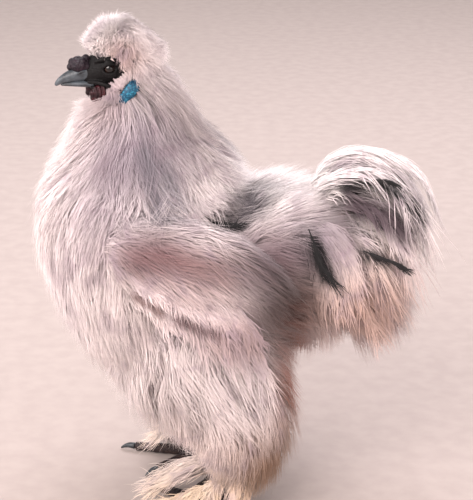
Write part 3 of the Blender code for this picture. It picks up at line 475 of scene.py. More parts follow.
def eye_finish(name, axis):
    made, tree, shader = new_material(name)
    place = add_node(tree, "TexCoord")
    front = add_node(tree, "VectorMath", {"operation": "DOT_PRODUCT"},
                     {0: place.outputs["Normal"], 1: tuple(axis)})
    fibres = add_node(tree, "TexNoise", None,
                      {"Vector": place.outputs["Object"], "Scale": 1000 / IRIS_FIBRE_MM, "Detail": 2.0})
    where = add_node(tree, "Math", {"operation": "MULTIPLY_ADD"},
                     {0: fibres.outputs["Fac"], 1: 0.05, 2: front.outputs["Value"]})
    ramp = add_node(tree, "ValToRGB", None, {0: where.outputs[0]})
    rings = ramp.color_ramp.elements
    rings[0].position, rings[0].color = 0.60, rgba("#0b0809")
    rings[1].position, rings[1].color = 0.70, rgba("#24150f")
    for position, shade in ((0.86, "#1c0f0b"), (0.90, "#050304")):
        rings.new(position).color = rgba(shade)
    tree.links.new(ramp.outputs[0], shader.inputs["Base Color"])
    shader.inputs["Roughness"].default_value = 0.12
    shader.inputs["IOR"].default_value = 1.38
    shader.inputs["Coat Weight"].default_value = 0.5
    shader.inputs["Coat Roughness"].default_value = 0.03
    return made


print(len(bpy.data.materials), "materials so far")

# %% [markdown]
# From numbers to a mesh
# A mesh is filled fastest from arrays. This helper makes an object, puts it in the scene, gives it its
# finish, and names the solids that it stands for, which are then hidden.

# %% Make a piece


def make_piece(name, points, faces, finish, nodes):
    mesh = bpy.data.meshes.new(name)
    if isinstance(faces, np.ndarray):
        sides = faces.shape[1]
        mesh.vertices.add(len(points))
        mesh.loops.add(faces.size)
        mesh.polygons.add(len(faces))
        mesh.vertices.foreach_set("co", to_scene(points).astype(np.float32).ravel())
        mesh.loops.foreach_set("vertex_index", faces.astype(np.int32).ravel())
        mesh.polygons.foreach_set("loop_start", np.arange(0, faces.size, sides, dtype=np.int32))
        mesh.update(calc_edges=True)
    else:
        mesh.from_pydata([tuple(p) for p in to_scene(points)], [], faces)
    mesh.polygons.foreach_set("use_smooth", np.full(len(mesh.polygons), True))
    mesh.materials.append(finish)
    piece = bpy.data.objects.new(name, mesh)
    bpy.context.scene.collection.objects.link(piece)
    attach(piece, "root")
    if nodes:
        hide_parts(*nodes)
    return piece


# %% [markdown]
# Closed forms for flesh
# Flesh is built from closed tubes and balls that overlap. A voxel remesh then melts them into one skin, as
# clay is pressed together and smoothed, so no seam is left between neck, body and legs. A tube's ends are
# drawn out to a point by a part of its last half width, which rounds them off. A ball is made of the same
# faces as a tube.

# %% Tubes and balls
END_DRAW = 0.6
GOLDEN_ANGLE = 2.399963


def tube(form, rings, sides, swell=None, floor=None):
    """A closed tube through a form. A swell adds mm to its radius, and a floor flattens what is lower."""
    along = np.linspace(0, 1, rings)[:, None] + np.zeros(sides)
    angle = np.linspace(0, 2 * math.pi, sides, endpoint=False) + np.zeros((rings, 1))
    extra = swell(along, angle) if swell else 0.0
    points = form.at(along, angle, extra).reshape(-1, 3)
    first, last = form.sizes[0].min(), form.sizes[-1].min()
    start = form.centres[0] + unit(form.centres[0] - form.centres[4]) * END_DRAW * first
    end = form.centres[-1] + unit(form.centres[-1] - form.centres[-5]) * END_DRAW * last
    points = np.vstack([points, start, end])
    if floor is not None:
        points[:, 2] = np.maximum(points[:, 2], floor)
    j = np.arange(sides)
    following = (j + 1) % sides
    faces = [(k * sides + a, k * sides + b, k * sides + b + sides, k * sides + a + sides)
             for k in range(rings - 1) for a, b in zip(j, following)]
    end_ring = (rings - 1) * sides
    faces += [(b, a, len(points) - 2) for a, b in zip(j, following)]
    faces += [(end_ring + a, end_ring + b, len(points) - 1) for a, b in zip(j, following)]
    return points, [tuple(int(i) for i in face) for face in faces]


def ball(centre, radii, axes=(FORWARD, LEFT, CROWN), rings=12, sides=20):
    polar = np.linspace(0.08, math.pi - 0.08, rings)
    turn = np.linspace(0, 2 * math.pi, sides, endpoint=False)
    shell = np.stack([np.outer(np.sin(polar), np.cos(turn)), np.outer(np.sin(polar), np.sin(turn)),
                      np.outer(-np.cos(polar), np.ones(sides))], axis=-1).reshape(-1, 3)
    shell = np.vstack([shell, (0, 0, -1), (0, 0, 1)])
    points = np.asarray(centre) + (shell * radii) @ np.array(axes)
    _, faces = tube(Form([(0, 0, 0, 1, 1), (0, 0, 1, 1, 1)]), rings, sides)
    return points, faces


def mirrored(shape):
    points, faces = shape
    return points * (1, -1, 1), [face[::-1] for face in faces]


# %% Melt closed forms into one skin


def melt(name, shapes, voxel, smoothing, finish, nodes):
    """One skin from closed shapes. The voxel is in mm, and smoothing says how often the skin is evened."""
    points, faces, count = [], [], 0
    for part, part_faces in shapes:
        points.append(part)
        faces += [tuple(i + count for i in face) for face in part_faces]
        count += len(part)
    piece = make_piece(name, np.vstack(points), faces, finish, nodes)
    remesh = piece.modifiers.new("melt", "REMESH")
    remesh.mode, remesh.voxel_size, remesh.use_smooth_shade = "VOXEL", voxel * 0.001, True
    soften = piece.modifiers.new("soften", "SMOOTH")
    soften.factor, soften.iterations = 0.5, smoothing
    bpy.context.view_layer.update()
    melted = bpy.data.meshes.new_from_object(piece.evaluated_get(bpy.context.evaluated_depsgraph_get()))
    piece.modifiers.clear()
    piece.data = melted
    print(name, len(melted.polygons), "faces")
    return piece


def store_markings(mesh, shades):
    """Keeps a colour on each point, which the floss and the down read."""
    values = np.ones((len(mesh.vertices), 4), np.float32)
    values[:, :3] = shades
    mesh.attributes.new("markings", "FLOAT_COLOR", "POINT").data.foreach_set("color", values.ravel())


# %% [markdown]
# The body under the coat
# One skin covers neck, breast, trunk, rump, wings and thighs. It lies a little inside the solids' cores,
# and the coat starts from it. The limbs are thin, so the skin lies half as deep there.

# %% The body's skin
SKIN_DEPTH = 2.5
flesh = [tube(form, 24, 32, lambda along, angle: -SKIN_DEPTH)
         for form in (NECK[0], BREAST[0], TORSO[0], VENT[0], TAIL_STUMP)]
for limb in (THIGH[0], WING[0]):
    near_side = tube(limb, 20, 24, lambda along, angle: -SKIN_DEPTH / 2)
    flesh += [near_side, mirrored(near_side)]
body_skin = melt("body_skin", flesh, 2.5, 6, down,
                 ["neck", "breast", "torso", "tail", "wing_left", "wing_right", "thigh_left", "thigh_right"])
places = np.zeros(3 * len(body_skin.data.vertices))
body_skin.data.vertices.foreach_get("co", places)
store_markings(body_skin.data, markings(places.reshape(-1, 3) * 1000 + BASE))

# %% [markdown]
# The head
# The head gets the most care. Its skull is narrow before the eyes and round behind them. Brows, the corner
# of the mouth and two lids round each eye are rolls of skin, melted into the skull at a fine voxel so that
# they keep their creases.

# %% The bare face
SKULL = Form(head_rows([(17, 0, -5, 5, 6), (12, 0, -4, 8, 9), (4, 0, -2, 11, 12.5), (-5, 0, -1, 13, 13.5),
                        (-14, 0, -1, 13, 13), (-22, 0, -3, 10, 10), (-28, 0, -5, 4, 4)]), LEFT)


def roll(rows, rings=14, sides=10, across=LEFT):
    """A roll of skin through stations in the head's directions."""
    return tube(Form(head_rows(rows), across), rings, sides)


LID_LONG, LID_HIGH, LID_CORNER = 5.1, 3.7, 0.7


def lid(side, half, thick):
    """One lid as an arc from corner to corner of the eye. A half of 1 is the upper lid, and -1 the lower."""
    arc = []
    for t in np.linspace(0, math.pi, 9):
        size = LID_CORNER + (thick - LID_CORNER) * math.sin(t)
        arc.append((LID_LONG * math.cos(t), side * (12.2 + 1.2 * math.sin(t)), half * LID_HIGH * math.sin(t),
                    size, size))
    return roll(arc, 24, 10)


# %% Lids, creases, brows and the corner of the mouth
face = [tube(SKULL, 28, 40)]
for side in (-1, 1):
    face += [lid(side, 1, 1.5), lid(side, -1, 1.3), lid(side, 1.45, 0.9), lid(side, -1.5, 0.8)]
    face.append(roll([(9, side * 8, 5, 1, 1), (3, side * 10.8, 6.8, 2.0, 2.0),
                      (-5, side * 11.4, 6.4, 2.0, 1.8), (-11, side * 11, 3, 1, 1)]))
    face.append(roll([(15, side * 6.4, -8.6, 1.2, 1.3), (9, side * 8.6, -9.3, 1.6, 1.6),
                      (3, side * 10.6, -11.6, 1.5, 1.6), (-1, side * 10.8, -13.6, 0.9, 0.9)]))
    face.append(roll([(13, side * 6.0, -12.6, 1.2, 1.2), (7, side * 7.6, -14.0, 1.8, 1.6),
                      (1, side * 8.8, -15.6, 1.6, 1.5), (-4, side * 9.2, -16.6, 1.0, 1.0)]))
head_skin = melt("head_skin", face, 0.45, 3, face_skin, ["head"])

# %% [markdown]
# Comb, wattles and ear lobes
# A walnut comb looks like half a walnut: a cushion crowded with bulbs of unlike sizes and creased between
# them. Bulbs are scattered by the golden angle, which packs a dome evenly without rows. Wattles are small
# discs with a thick wrinkled rim and three folds. An ear lobe is a soft strap in two parts.

# %% The walnut comb


def bulbs(centre, radii, count, sizes, seed):
    """Bulbs over the upper half of a cushion."""
    rng = np.random.default_rng(seed)
    made = []
    for j in range(count):
        height = (j + 0.5) / count
        turn = j * GOLDEN_ANGLE
        flat = math.sqrt(1 - height * height)
        spot = (centre[0] + radii[0] * flat * math.cos(turn), centre[1] + radii[1] * flat * math.sin(turn),
                centre[2] + radii[2] * height)
        radius = rng.uniform(*sizes)
        made.append(ball(on_head(*spot), (radius, radius, 0.9 * radius), rings=8, sides=12))
    return made


comb_forms = [ball(on_head(19.0, 0, 2.2), (6.6, 7.4, 5.0))]
comb_forms += bulbs((19.0, 0, 1.8), (5.6, 6.4, 4.4), 19, (2.0, 3.3), 5)
comb_forms.append(ball(on_head(14.0, 1.5, 7.2), (2.6, 2.8, 2.6)))
melt("comb_skin", comb_forms, 0.4, 4, comb_skin, ["comb"])

# %% Wattles
for name, side in (("left", 1), ("right", -1)):
    middle = (8, side * 8.2, -18.0)
    wattle_forms = [ball(on_head(*middle), (6.6, 2.1, 6.8))]
    for j in range(13):
        turn = math.pi * (0.95 + 1.15 * j / 12)
        size = 1.9 + 0.5 * math.sin(2.7 * j + side)
        spot = on_head(middle[0] + 5.2 * math.cos(turn), middle[1] + side * 0.4,
                       middle[2] + 5.4 * math.sin(turn))
        wattle_forms.append(ball(spot, (size, 1.8, size), rings=8, sides=12))
    for shift in (-2.8, 0.2, 3.0):
        wattle_forms.append(roll([(8 + shift, side * 9.5, -12, 0.9, 0.9),
                                  (7.6 + shift, side * 10.2, -17, 1.2, 1.1),
                                  (8.2 + shift * 0.7, side * 9.8, -22.5, 0.8, 0.8)], across=FORWARD))
    melt("wattle_skin_" + name, wattle_forms, 0.4, 2, wattle_skin, ["wattle_" + name])

# %% Ear lobes
for name, side in (("left", 1), ("right", -1)):
    across = np.cross(LEFT, FORWARD * 0.66 - CROWN * 0.75)
    upper = head_rows([(-20, side * 14.0, -9.5, 1.8, 1.2), (-15.5, side * 15.6, -13.5, 4.7, 2.8),
                       (-10, side * 15.8, -18.5, 4.3, 2.8), (-6, side * 14.8, -22, 2.0, 1.2)])
    lower = head_rows([(-11.5, side * 15.0, -17.5, 2.0, 1.2), (-6.5, side * 15.6, -21.5, 4.1, 2.6),
                       (-2.5, side * 14.6, -25, 3.1, 2.2), (0.5, side * 13.2, -27.5, 1.2, 1.0)])
    lobe_forms = [tube(Form(part, across), 16, 16) for part in (upper, lower)]
    melt("ear_lobe_" + name, lobe_forms, 0.4, 2, lobe_skin, ["earlobe_" + name])

# %% [markdown]
# Beak and eyes
# The upper beak curves down over the lower one and has a soft flap over each nostril. Both are melted at a
# fine voxel, so they stay crisp. The eyes are balls that fill the opening between the lids.

# %% Beak
UPPER_BEAK = Form(head_rows([(12, 0, -3, 7, 6), (18, 0, -3.3, 6, 5.4), (24, 0, -4.1, 4.6, 4.5),
                             (30, 0, -5.7, 3, 3.3), (34, 0, -7.5, 1.7, 2.2),
                             (36.5, 0, -9.4, 0.8, 1.1)]), LEFT)
LOWER_BEAK = Form(head_rows([(11, 0, -11.0, 6.4, 3), (18, 0, -10.4, 5.2, 2.5), (24, 0, -9.9, 3.7, 2.0),
                             (29, 0, -9.6, 2.3, 1.4), (32.5, 0, -9.7, 0.9, 0.7)]), LEFT)
upper_forms = [tube(UPPER_BEAK, 40, 32)]
for side in (-1, 1):
    upper_forms.append(roll([(15.5, side * 5.4, -0.6, 0.6, 0.5), (18.5, side * 5.7, -1.0, 1.3, 0.9),
                             (22, side * 4.9, -2.6, 0.5, 0.4)]))
melt("horn_beak_upper", upper_forms, 0.35, 8, horn, ["beak_upper"])
melt("horn_beak_lower", [tube(LOWER_BEAK, 30, 28)], 0.35, 6, horn, ["beak_lower"])

# %% Eyes
EYE_OUT, EYE_RADIUS = 9.9, 4.5
for name, side in (("left", 1), ("right", -1)):
    points, faces = ball(on_head(0, side * EYE_OUT, 0), (EYE_RADIUS,) * 3, rings=32, sides=48)
    wet = eye_finish("wet_eye_" + name, LEFT * side)
    make_piece("wet_eye_" + name, points, faces, wet, ["eye_" + name])
print("each eye is a ball of", 2 * EYE_RADIUS, "mm")

# %% [markdown]
# Feet
# A silkie has five toes instead of four. Each toe carries a row of overlapping scutes on top, which a
# saw-tooth swelling along the tube makes, and soft pads below. Feathers cover the shank and the outer
# toes. A toe is given by its direction in degrees from straight ahead, its length in mm, and its thickness
# beside the middle toe's.

# %% Toes with scutes, and claws
ANKLE = np.array([-30.0, -41.0, 6.0])
TOES = [(14, 48, 1.0), (52, 38, 0.95), (-42, 38, 0.95), (-152, 22, 0.85), (-118, 26, 0.85)]
SCUTE_MM = 3.2


def scutes(count):
    def swell(along, angle):
        step = (along * count) % 1.0
        top = np.clip(np.sin(angle), 0, 1)
        pads = np.clip(-np.sin(angle), 0, 1) * np.sin(along * count * 0.5 * math.pi) ** 2
        return 0.45 * top * (1 - step) ** 0.6 + 0.5 * pads - 0.25
    return swell


def direction_of(angle):
    return np.array([-math.cos(math.radians(angle)), -math.sin(math.radians(angle)), 0.0])


def toe(angle, length, thick):
    rows = []
    for s, height in ((0.0, 6.0), (0.25, 5.2), (0.6, 4.5), (1.0, 4.0)):
        size = thick * (1 - 0.25 * s)
        spot = ANKLE + direction_of(angle) * (length + 1.5) * s
        rows.append((*spot[:2], height * thick, 4.7 * size, 4.4 * size))
    count = int(length / SCUTE_MM)
    return tube(Form(rows, -np.cross(direction_of(angle), UP)), 6 * count, 24, scutes(count), 0.0)


def claw(angle, length, thick):
    base = ANKLE + direction_of(angle) * (length + 3)
    rows = [(*(base + direction_of(angle) * step)[:2], height * thick, wide * thick, wide * thick)
            for step, height, wide in ((0, 4.0, 2.5), (4, 4.2, 2.1), (8, 3.0, 1.4), (11, 1.2, 0.6))]
    return tube(Form(rows, -np.cross(direction_of(angle), UP)), 24, 16, None, 0.0)


# %% Both feet
SHANK = Form([(1, -46, 44, 7.5, 8), (-6, -45, 34, 6, 6.5), (-17, -43, 21, 5.6, 6), (-27, -41, 10, 6, 6.5),
              (-31, -41, 5, 6, 5)])
foot_forms = [tube(SHANK, 60, 24, scutes(14), 0.0)] + [toe(*row) for row in TOES]
for name, turned in (("left", tuple), ("right", mirrored)):
    melt("foot_skin_" + name, [turned(form) for form in foot_forms], 0.6, 2, foot_skin,
         ["foot_" + name])
    for number, row in enumerate(TOES, 1):
        points, faces = turned(claw(*row))
        make_piece(f"horn_claw_{name}_{number}", points, faces, horn,
                   [f"claw_{name}_{number}"])

# %% [markdown]
# How a coat of floss is grown
# Feathers grow in tracts, and each leaves the skin, rises, and lies back over the next. A tuft here is a
# pinch of strands that share one guide: it starts in the skin, follows the lie of its tract, and rises
# until its tip lies on the coat's outer surface. Roots are spread by a sequence that never clumps. A few
# broad webs in each tuft close the coat, as the dense lower part of a feather does, and many fine strands
# over them end early or late, which is what makes floss look soft. A slow swirl turns neighbouring tufts
# alike, so the coat parts and gathers as real plumage does. An undercoat is a tract of webs alone. It lies
# low and even, and stops the eye from reaching the skin between the tufts.

# %% Small disorders
ROOT_DEPTH, TIP_TURN = 0.12, 0.35
WEB_LEAN, STRAND_LEAN = 0.94, 0.78
WEB_THICK, STRAND_THICK = 0.18, 0.8
EVEN_STEPS = (0.7548777, 0.5698403)


def wander(rng, count, steps):
    """A slow random drift along each strand, from nothing at the root."""
    drift = np.cumsum(rng.normal(0, 1, (count, steps + 1, 2)), axis=1) / math.sqrt(steps)
    return (drift - drift[:, :1]) * np.linspace(0, 1, steps + 1)[None, :, None]


def swirl(rng, along, angle, strength):
    """A smooth random turn of the lie over a tract."""
    turn = 0.0
    for _ in range(4):
        waves, phase = rng.uniform(2, 9), rng.uniform(0, 6.28)
        turn = turn + np.sin(waves * along * 1.6 + round(rng.uniform(2, 7)) * angle + phase)
    return 0.5 * strength * turn


# %% Grow the strands of one tract


def grow(tract, count, alongs, turns, lie, reach, seed, fine=22, webs=7, spread=7.0, rings=2, width=0.42,
         web_width=1.6, hem=None, heights=(0.66, 1.0), sunk=(0.5, 0.9), loose=1.6, twist=0.8, curl=1.0,
         smoky=0.14, stray=4.5):
    """Tufts root between two shares along a form and two quarter turns round it, and reach a share of it.

    Heights are shares of the coat's depth, and webs are sunk to a part of them. Spread, widths, loose and
    stray are in mm. A lie gives the way onward and aside at any place. A hem limits how far a tip may go.
    """
    core, coat = tract
    rng = np.random.default_rng(seed)
    spots = (np.arange(1, count + 1)[:, None] * EVEN_STEPS + rng.uniform(0, 1, 2)) % 1
    along = alongs[0] + (alongs[1] - alongs[0]) * spots[:, 0]
    angle = (turns[0] + (turns[1] - turns[0]) * spots[:, 1]) * math.pi / 2
    length = reach * rng.uniform(0.7, 1.2, count)
    if hem is not None:
        length = np.minimum(length, (hem(along, angle) - along) * rng.uniform(0.85, 1.1, count))
        kept = length > 0.1
        along, angle, length = along[kept], angle[kept], length[kept]
    total = len(along)
    height = heights[0] + (heights[1] - heights[0]) * rng.uniform(0, 1, total) ** 0.6
    steer = rng.normal(0, 0.6 * twist, total) + swirl(rng, along, angle, 0.6 * twist)
    bend = rng.normal(0, curl, total)
    strands = fine + webs
    tuft = np.repeat(np.arange(total), strands)
    number = len(tuft)
    broad = np.tile(np.arange(strands) < webs, total)
    even = np.tile(np.append(np.linspace(-0.75, 0.75, webs), np.zeros(fine)), total)
    across = np.where(broad, even + rng.uniform(-0.2, 0.2, number), rng.uniform(-1, 1, number))
    up = np.where(broad, rng.uniform(-0.8, 0.1, number), rng.uniform(-0.6, 1, number))
    reached = np.where(broad, rng.uniform(0.75, 0.95, number), rng.uniform(0.55, 1.08, number))
    share = reached * length[tuft]
    place, turn = along[tuft] + rng.uniform(-0.01, 0.01, number), angle[tuft]
    tip_height = height[tuft] * np.where(broad, rng.uniform(*sunk, number), 1.0)
    path, outward = np.empty((number, rings + 1, 3)), np.empty((number, rings + 1, 3))
    for k in range(rings + 1):
        s = k / rings
        rise = -ROOT_DEPTH + (tip_height + ROOT_DEPTH) * s * (1.6 - 0.6 * s)
        low, high = core.at(place, turn), coat.at(place, turn)
        path[:, k] = low + (high - low) * rise[:, None]
        outward[:, k] = unit(high - low)
        onward, aside = lie(place, turn)
        place = place + onward * share / rings
        turn = turn + (aside + steer[tuft] + bend[tuft] * (s - 0.3)) * share / rings
    s = np.linspace(0, 1, rings + 1)
    ahead = unit(np.gradient(path, axis=1))
    side = unit(np.cross(ahead, outward))
    lateral = across[:, None] * spread * (0.4 + 1.3 * s - 0.9 * s**2)
    drift = wander(rng, number, rings) * loose * np.where(broad, 0.4, 1.0)[:, None, None]
    path += side * (lateral + drift[..., 0])[..., None]
    path += outward * (0.16 * spread * up[:, None] * s + 0.7 * drift[..., 1])[..., None]
    bulge = np.where(broad, 0.2, 0.5) * across
    rounded = outward + side * bulge[:, None, None] + TIP_TURN * ahead * (s - 0.25)[None, :, None]
    return {"path": path, "outward": outward, "facing": unit(rounded),
            "thin": np.where(broad, WEB_THICK, STRAND_THICK),
            "lean": np.where(broad, WEB_LEAN, STRAND_LEAN),
            "width": np.where(broad, web_width, width) * rng.uniform(0.75, 1.25, number),
            "root": np.stack([(angle[tuft] / (2 * math.pi)) % 0.98, np.clip(along[tuft], 0, 0.98)], axis=-1),
            "across": np.clip(0.5 + 0.5 * across, 0, 1),
            "tint": rng.normal(0, 0.04, total)[tuft] + rng.normal(0, 0.025, number),
            "smoky": np.clip(rng.normal(0.03, smoky, total), 0, 0.6)[tuft],
            "stray": rng.normal(0, stray, (total, 3))[tuft], "ink": np.zeros(number),
            "ragged": rng.uniform(-2.0, 2.0, number)}


# %% [markdown]
# A plume
# The long feathers of the wing and tail have a shaft, but their barbs hang loose like a fringe. A plume is
# a guide curve with barbs that leave it on both sides, trail towards its tip, and sag. Its last strand is
# the shaft.

# %% Grow one plume


def along_guide(guide, place):
    """Points on a guide, which goes on straight past its end."""
    spot = place * (len(guide) - 1)
    k = np.clip(spot.astype(int), 0, len(guide) - 2)
    share = (spot - k)[..., None]
    return guide[k] * (1 - share) + guide[k + 1] * share


def plume(points, facing, width, barbs, rng, root, rings=3, sag=2.0, barb_width=0.45, length=0.40, webs=10,
          loose=2.2, ink=0.0):
    """A plume along the points. Barbs reach a share of its length. The widths, sag and loose are in mm."""
    guide = smooth_rows(points, 40)
    broad = np.arange(barbs + webs) < webs
    number = len(broad)
    start = np.where(broad, rng.uniform(0.0, 0.68, number), rng.uniform(0.0, 0.84, number) ** 0.9)
    span = length * rng.uniform(0.7, 1.15, number) * (1.12 - 0.5 * start)
    hand = rng.choice((-1.0, 1.0), number)
    side = hand * np.where(broad, rng.uniform(0.1, 0.7, number), rng.uniform(0.2, 1.0, number))
    s = np.linspace(0, 1, rings + 1)
    place = start[:, None] + span[:, None] * s
    path = along_guide(guide, place)
    ahead = unit(along_guide(guide, place + 0.02) - path)
    outward = unit(facing(path))
    beside = unit(np.cross(ahead, outward))
    half = 0.5 * width * (0.6 + 0.9 * start - 0.9 * start**2)[:, None]
    drift = wander(rng, number, rings) * loose * np.where(broad, 0.4, 1.0)[:, None, None]
    opened = side[:, None] * half * np.sin(0.5 * math.pi * s) ** 0.8
    path = path + beside * (opened + drift[..., 0])[..., None]
    path += outward * (0.6 * drift[..., 1] - broad[:, None] * 0.8)[..., None]
    path[..., 2] -= sag * np.abs(side)[:, None] * s**2
    shaft = along_guide(guide, np.linspace(0, 0.95, rings + 1)[None, :])
    path = np.concatenate([path, shaft])
    outward = np.concatenate([outward, unit(facing(shaft))])
    facing_way = outward.copy()
    facing_way[:-1] += 0.4 * beside * side[:, None, None]
    facing_way[:-1] += TIP_TURN * unit(ahead) * (s - 0.1)[None, :, None]
    whole = number + 1
    return {"path": path, "outward": outward, "facing": unit(facing_way),
            "thin": np.append(np.where(broad, WEB_THICK, STRAND_THICK), STRAND_THICK),
            "lean": np.append(np.where(broad, WEB_LEAN, STRAND_LEAN), STRAND_LEAN),
            "width": np.append(np.where(broad, 2.0, barb_width) * rng.uniform(0.75, 1.3, number), 1.0),
            "root": np.tile(root, (whole, 1)), "across": np.append(0.5 + 0.5 * side, 0.5),
            "tint": rng.normal(0, 0.04) + np.append(rng.normal(0, 0.025, number), 0),
            "smoky": np.full(whole, max(0.0, rng.normal(0.04, 0.16))),
            "stray": np.tile(rng.normal(0, 3.0, 3), (whole, 1)), "ink": np.full(whole, ink),
            "ragged": np.append(rng.uniform(-1.5, 1.5, number), 0.0)}


# %% [markdown]
# Knit the strands into one mesh
# A strand is a thin closed spike with three sides: a flat one below, and two that meet in a low ridge
# above. Its shading normals lean towards the body's own outward direction, webs most of all, so a coat of
# spikes shades like one soft surface instead of glittering wire. A strand's colour is mostly that of its
# own place, with a little of its middle's, so that a marking has ragged edges. It is mixed on square
# roots, which keeps dark marks dark. Each tuft gets a small patch of a texture map, at its root's place on
# the unrolled body, so an exported copy can carry the colours.

# %% Strands to mesh
PATCH = 0.003
CLEAR_OF_GROUND = 1.4


def joined(bundles):
    """One bundle for each number of rings."""
    groups = {}
    for bundle in bundles:
        groups.setdefault(bundle["path"].shape[1], []).append(bundle)
    return [{key: np.concatenate([b[key] for b in group]) for key in group[0]} for group in groups.values()]


def spikes(bundle):
    """Points, triangles, shading normals, texture places and the share along the strand, for one bundle."""
    path, outward = bundle["path"], bundle["outward"]
    number, rings = path.shape[0], path.shape[1] - 1
    ahead = unit(np.gradient(path, axis=1))
    deep = unit(outward - ahead * np.sum(outward * ahead, axis=-1, keepdims=True))
    wide = np.cross(ahead, deep)
    s = np.arange(rings) / rings
    half = 0.5 * bundle["width"][:, None] * (0.75 + 0.9 * s - 0.95 * s**2)
    middle, out = path[:, :rings], wide[:, :rings] * half[..., None]
    ridge = bundle["thin"][:, None, None] * (deep[:, :rings] * half[..., None])
    corners = np.stack([middle + out, middle + ridge, middle - out], axis=2)
    own = np.stack([wide[:, :rings], deep[:, :rings], -wide[:, :rings]], axis=2)
    points = np.concatenate([corners.reshape(number, -1, 3), path[:, -1:]], axis=1)
    facing = bundle["facing"]
    lean = bundle["lean"][:, None, None, None]
    normals = lean * facing[:, :rings, None] + (1 - lean) * own
    normals = np.concatenate([normals.reshape(number, -1, 3), facing[:, -1:]], axis=1)
    share = np.append(np.repeat(s, 3), 1.0)
    places = np.empty((number, len(share), 2))
    places[..., 0] = (bundle["root"][:, 0] + PATCH * bundle["across"])[:, None]
    places[..., 1] = bundle["root"][:, 1][:, None] + PATCH * share
    faces = [(0, 1, 2)]
    for k in range(rings - 1):
        for a, b in ((0, 1), (1, 2), (2, 0)):
            low_a, low_b = 3 * k + a, 3 * k + b
            faces += [(low_b, low_a, low_b + 3), (low_b + 3, low_a, low_a + 3)]
    last = 3 * (rings - 1)
    faces += [(last + b, last + a, 3 * rings) for a, b in ((0, 1), (1, 2), (2, 0))]
    stride = np.arange(number)[:, None, None] * points.shape[1]
    faces = (np.array(faces)[None] + stride).reshape(-1, 3)
    points[..., 2] = np.maximum(points[..., 2], CLEAR_OF_GROUND)
    return points, faces, unit(normals), places, np.broadcast_to(share, (number, len(share)))


# %% Colour the strands and join them
OWN_SHARE = 0.85


def strand_colours(bundle, points, share):
    """The colour of each point: markings, then smoke and ink, and painted shade that darkens it a little at
    the root.
    """
    path = bundle["path"]
    halfway = 0.5 * path[:, 1] + 0.5 * path[:, -2] + bundle["stray"]
    middle = markings(halfway, bundle["ragged"])
    own = markings(points, bundle["ragged"][:, None])
    shade = (OWN_SHARE * np.sqrt(own) + (1 - OWN_SHARE) * np.sqrt(middle[:, None])) ** 2
    shade += (np.minimum(SMOKE, shade) - shade) * bundle["smoky"][:, None, None]
    shade += (INK - shade) * bundle["ink"][:, None, None]
    # Painted shade: each strand darkens towards its root, deep in the coat. The tint varies at random.
    lightness = (1 + bundle["tint"])[:, None] * (0.88 + 0.14 * np.minimum(share * 1.4, 1.0))
    return np.clip(shade * lightness[..., None], 0, 1)


def knit(name, bundles, nodes):
    points, faces, normals, places, shades, count = [], [], [], [], [], 0
    for bundle in joined(bundles):
        part, part_faces, part_normals, part_places, share = spikes(bundle)
        points.append(part.reshape(-1, 3))
        faces.append(part_faces + count)
        normals.append(part_normals.reshape(-1, 3))
        places.append(part_places.reshape(-1, 2))
        shades.append(strand_colours(bundle, part, share).reshape(-1, 3))
        count += points[-1].shape[0]
    faces = np.concatenate(faces)
    piece = make_piece(name, np.concatenate(points), faces, floss, nodes)
    mesh = piece.data
    store_markings(mesh, np.concatenate(shades))
    layer = mesh.uv_layers.new(name="OFBake")
    layer.data.foreach_set("uv", np.concatenate(places)[faces.ravel()].astype(np.float32).ravel())
    mesh.normals_split_custom_set_from_vertices(np.concatenate(normals).tolist())
    print(name, sum(len(b["path"]) for b in bundles), "strands,", len(faces), "triangles")
    return piece


def across_midline(bundle):
    flip = np.array([1.0, -1.0, 1.0])
    return {**bundle, **{key: bundle[key] * flip for key in ("path", "outward", "facing")}}


# %% [markdown]
# Crest and cheeks
# The crest is a round puff that springs from the crown. In front it stops above the eyes, and behind it
# falls to the nape. A hem says how far down the head a lock may reach at each angle: 0.54 of the way over
# the face, and past the end of the form behind. Tufts that start above the form's beginning close its
# pole. The cheeks carry a short tuft.

# %% The crest


def straight(along, angle):
    return 1.0, 0.0 * angle


def crest_hem(along, angle):
    behind = np.clip((0.3 - 0.5 * np.sin(angle)) / 0.45, 0, 1)
    return 0.54 + 0.55 * behind * behind * (3 - 2 * behind)


crest = [grow(CREST, 450, (0.0, 0.88), (0, 4), straight, 0.28, seed=101, fine=22, webs=5, spread=4.6,
              width=0.32, web_width=1.3, hem=crest_hem, heights=(0.72, 0.98), loose=1.4, twist=0.9,
              curl=0.8),
         grow(CREST, 120, (-0.09, 0.30), (0, 4), straight, 0.24, seed=102, fine=18, webs=4, spread=4.0,
              width=0.36, web_width=1.2, hem=crest_hem, heights=(0.74, 0.97), loose=1.8, twist=1.4,
              curl=1.2)]
knit("crest_floss", crest, ["crest"])

# %% Cheek tufts


def towards(*arrow):
    """The same facing for every point of a plume."""
    return lambda path: np.broadcast_to(np.array(arrow, float), path.shape)


for name, side in (("left", 1), ("right", -1)):
    rng = np.random.default_rng(110 + side)
    tufts = []
    for j in range(28):
        t = rng.uniform(0, 1)
        root = np.array([-10 + 12 * t, 11.8, -3.5 - 9.0 * t]) + rng.normal(0, 1.0, 3)
        bend = root + (-1.8, 2.0, -1.6)
        tip = root + np.array([-3.0, 2.8, -3.6]) * rng.uniform(0.7, 1.15)
        points = [on_head(f, side * l, u) for f, l, u in (root, bend, tip)]
        tufts.append(plume(points, towards(*(LEFT * side)), 5.0, 20, rng, np.array([t * 0.9, 0.5]),
                           sag=0.3, barb_width=0.34, length=0.6, webs=4, loose=0.8))
    knit("cheek_floss_" + name, tufts, ["cheek_" + name])

# %% [markdown]
# Hackle, breast and back
# The hackle is a cape of long floss from the nape over the shoulders. It is grown in bands, so that each
# mesh stays small: nape, cape and throat. The breast hangs in soft locks over an undercoat, and the back
# feathers lie towards the tail and fall at the sides.

# %% The hackle


def hackle_lie(along, angle):
    return 1.0, 0.16 * np.cos(angle)


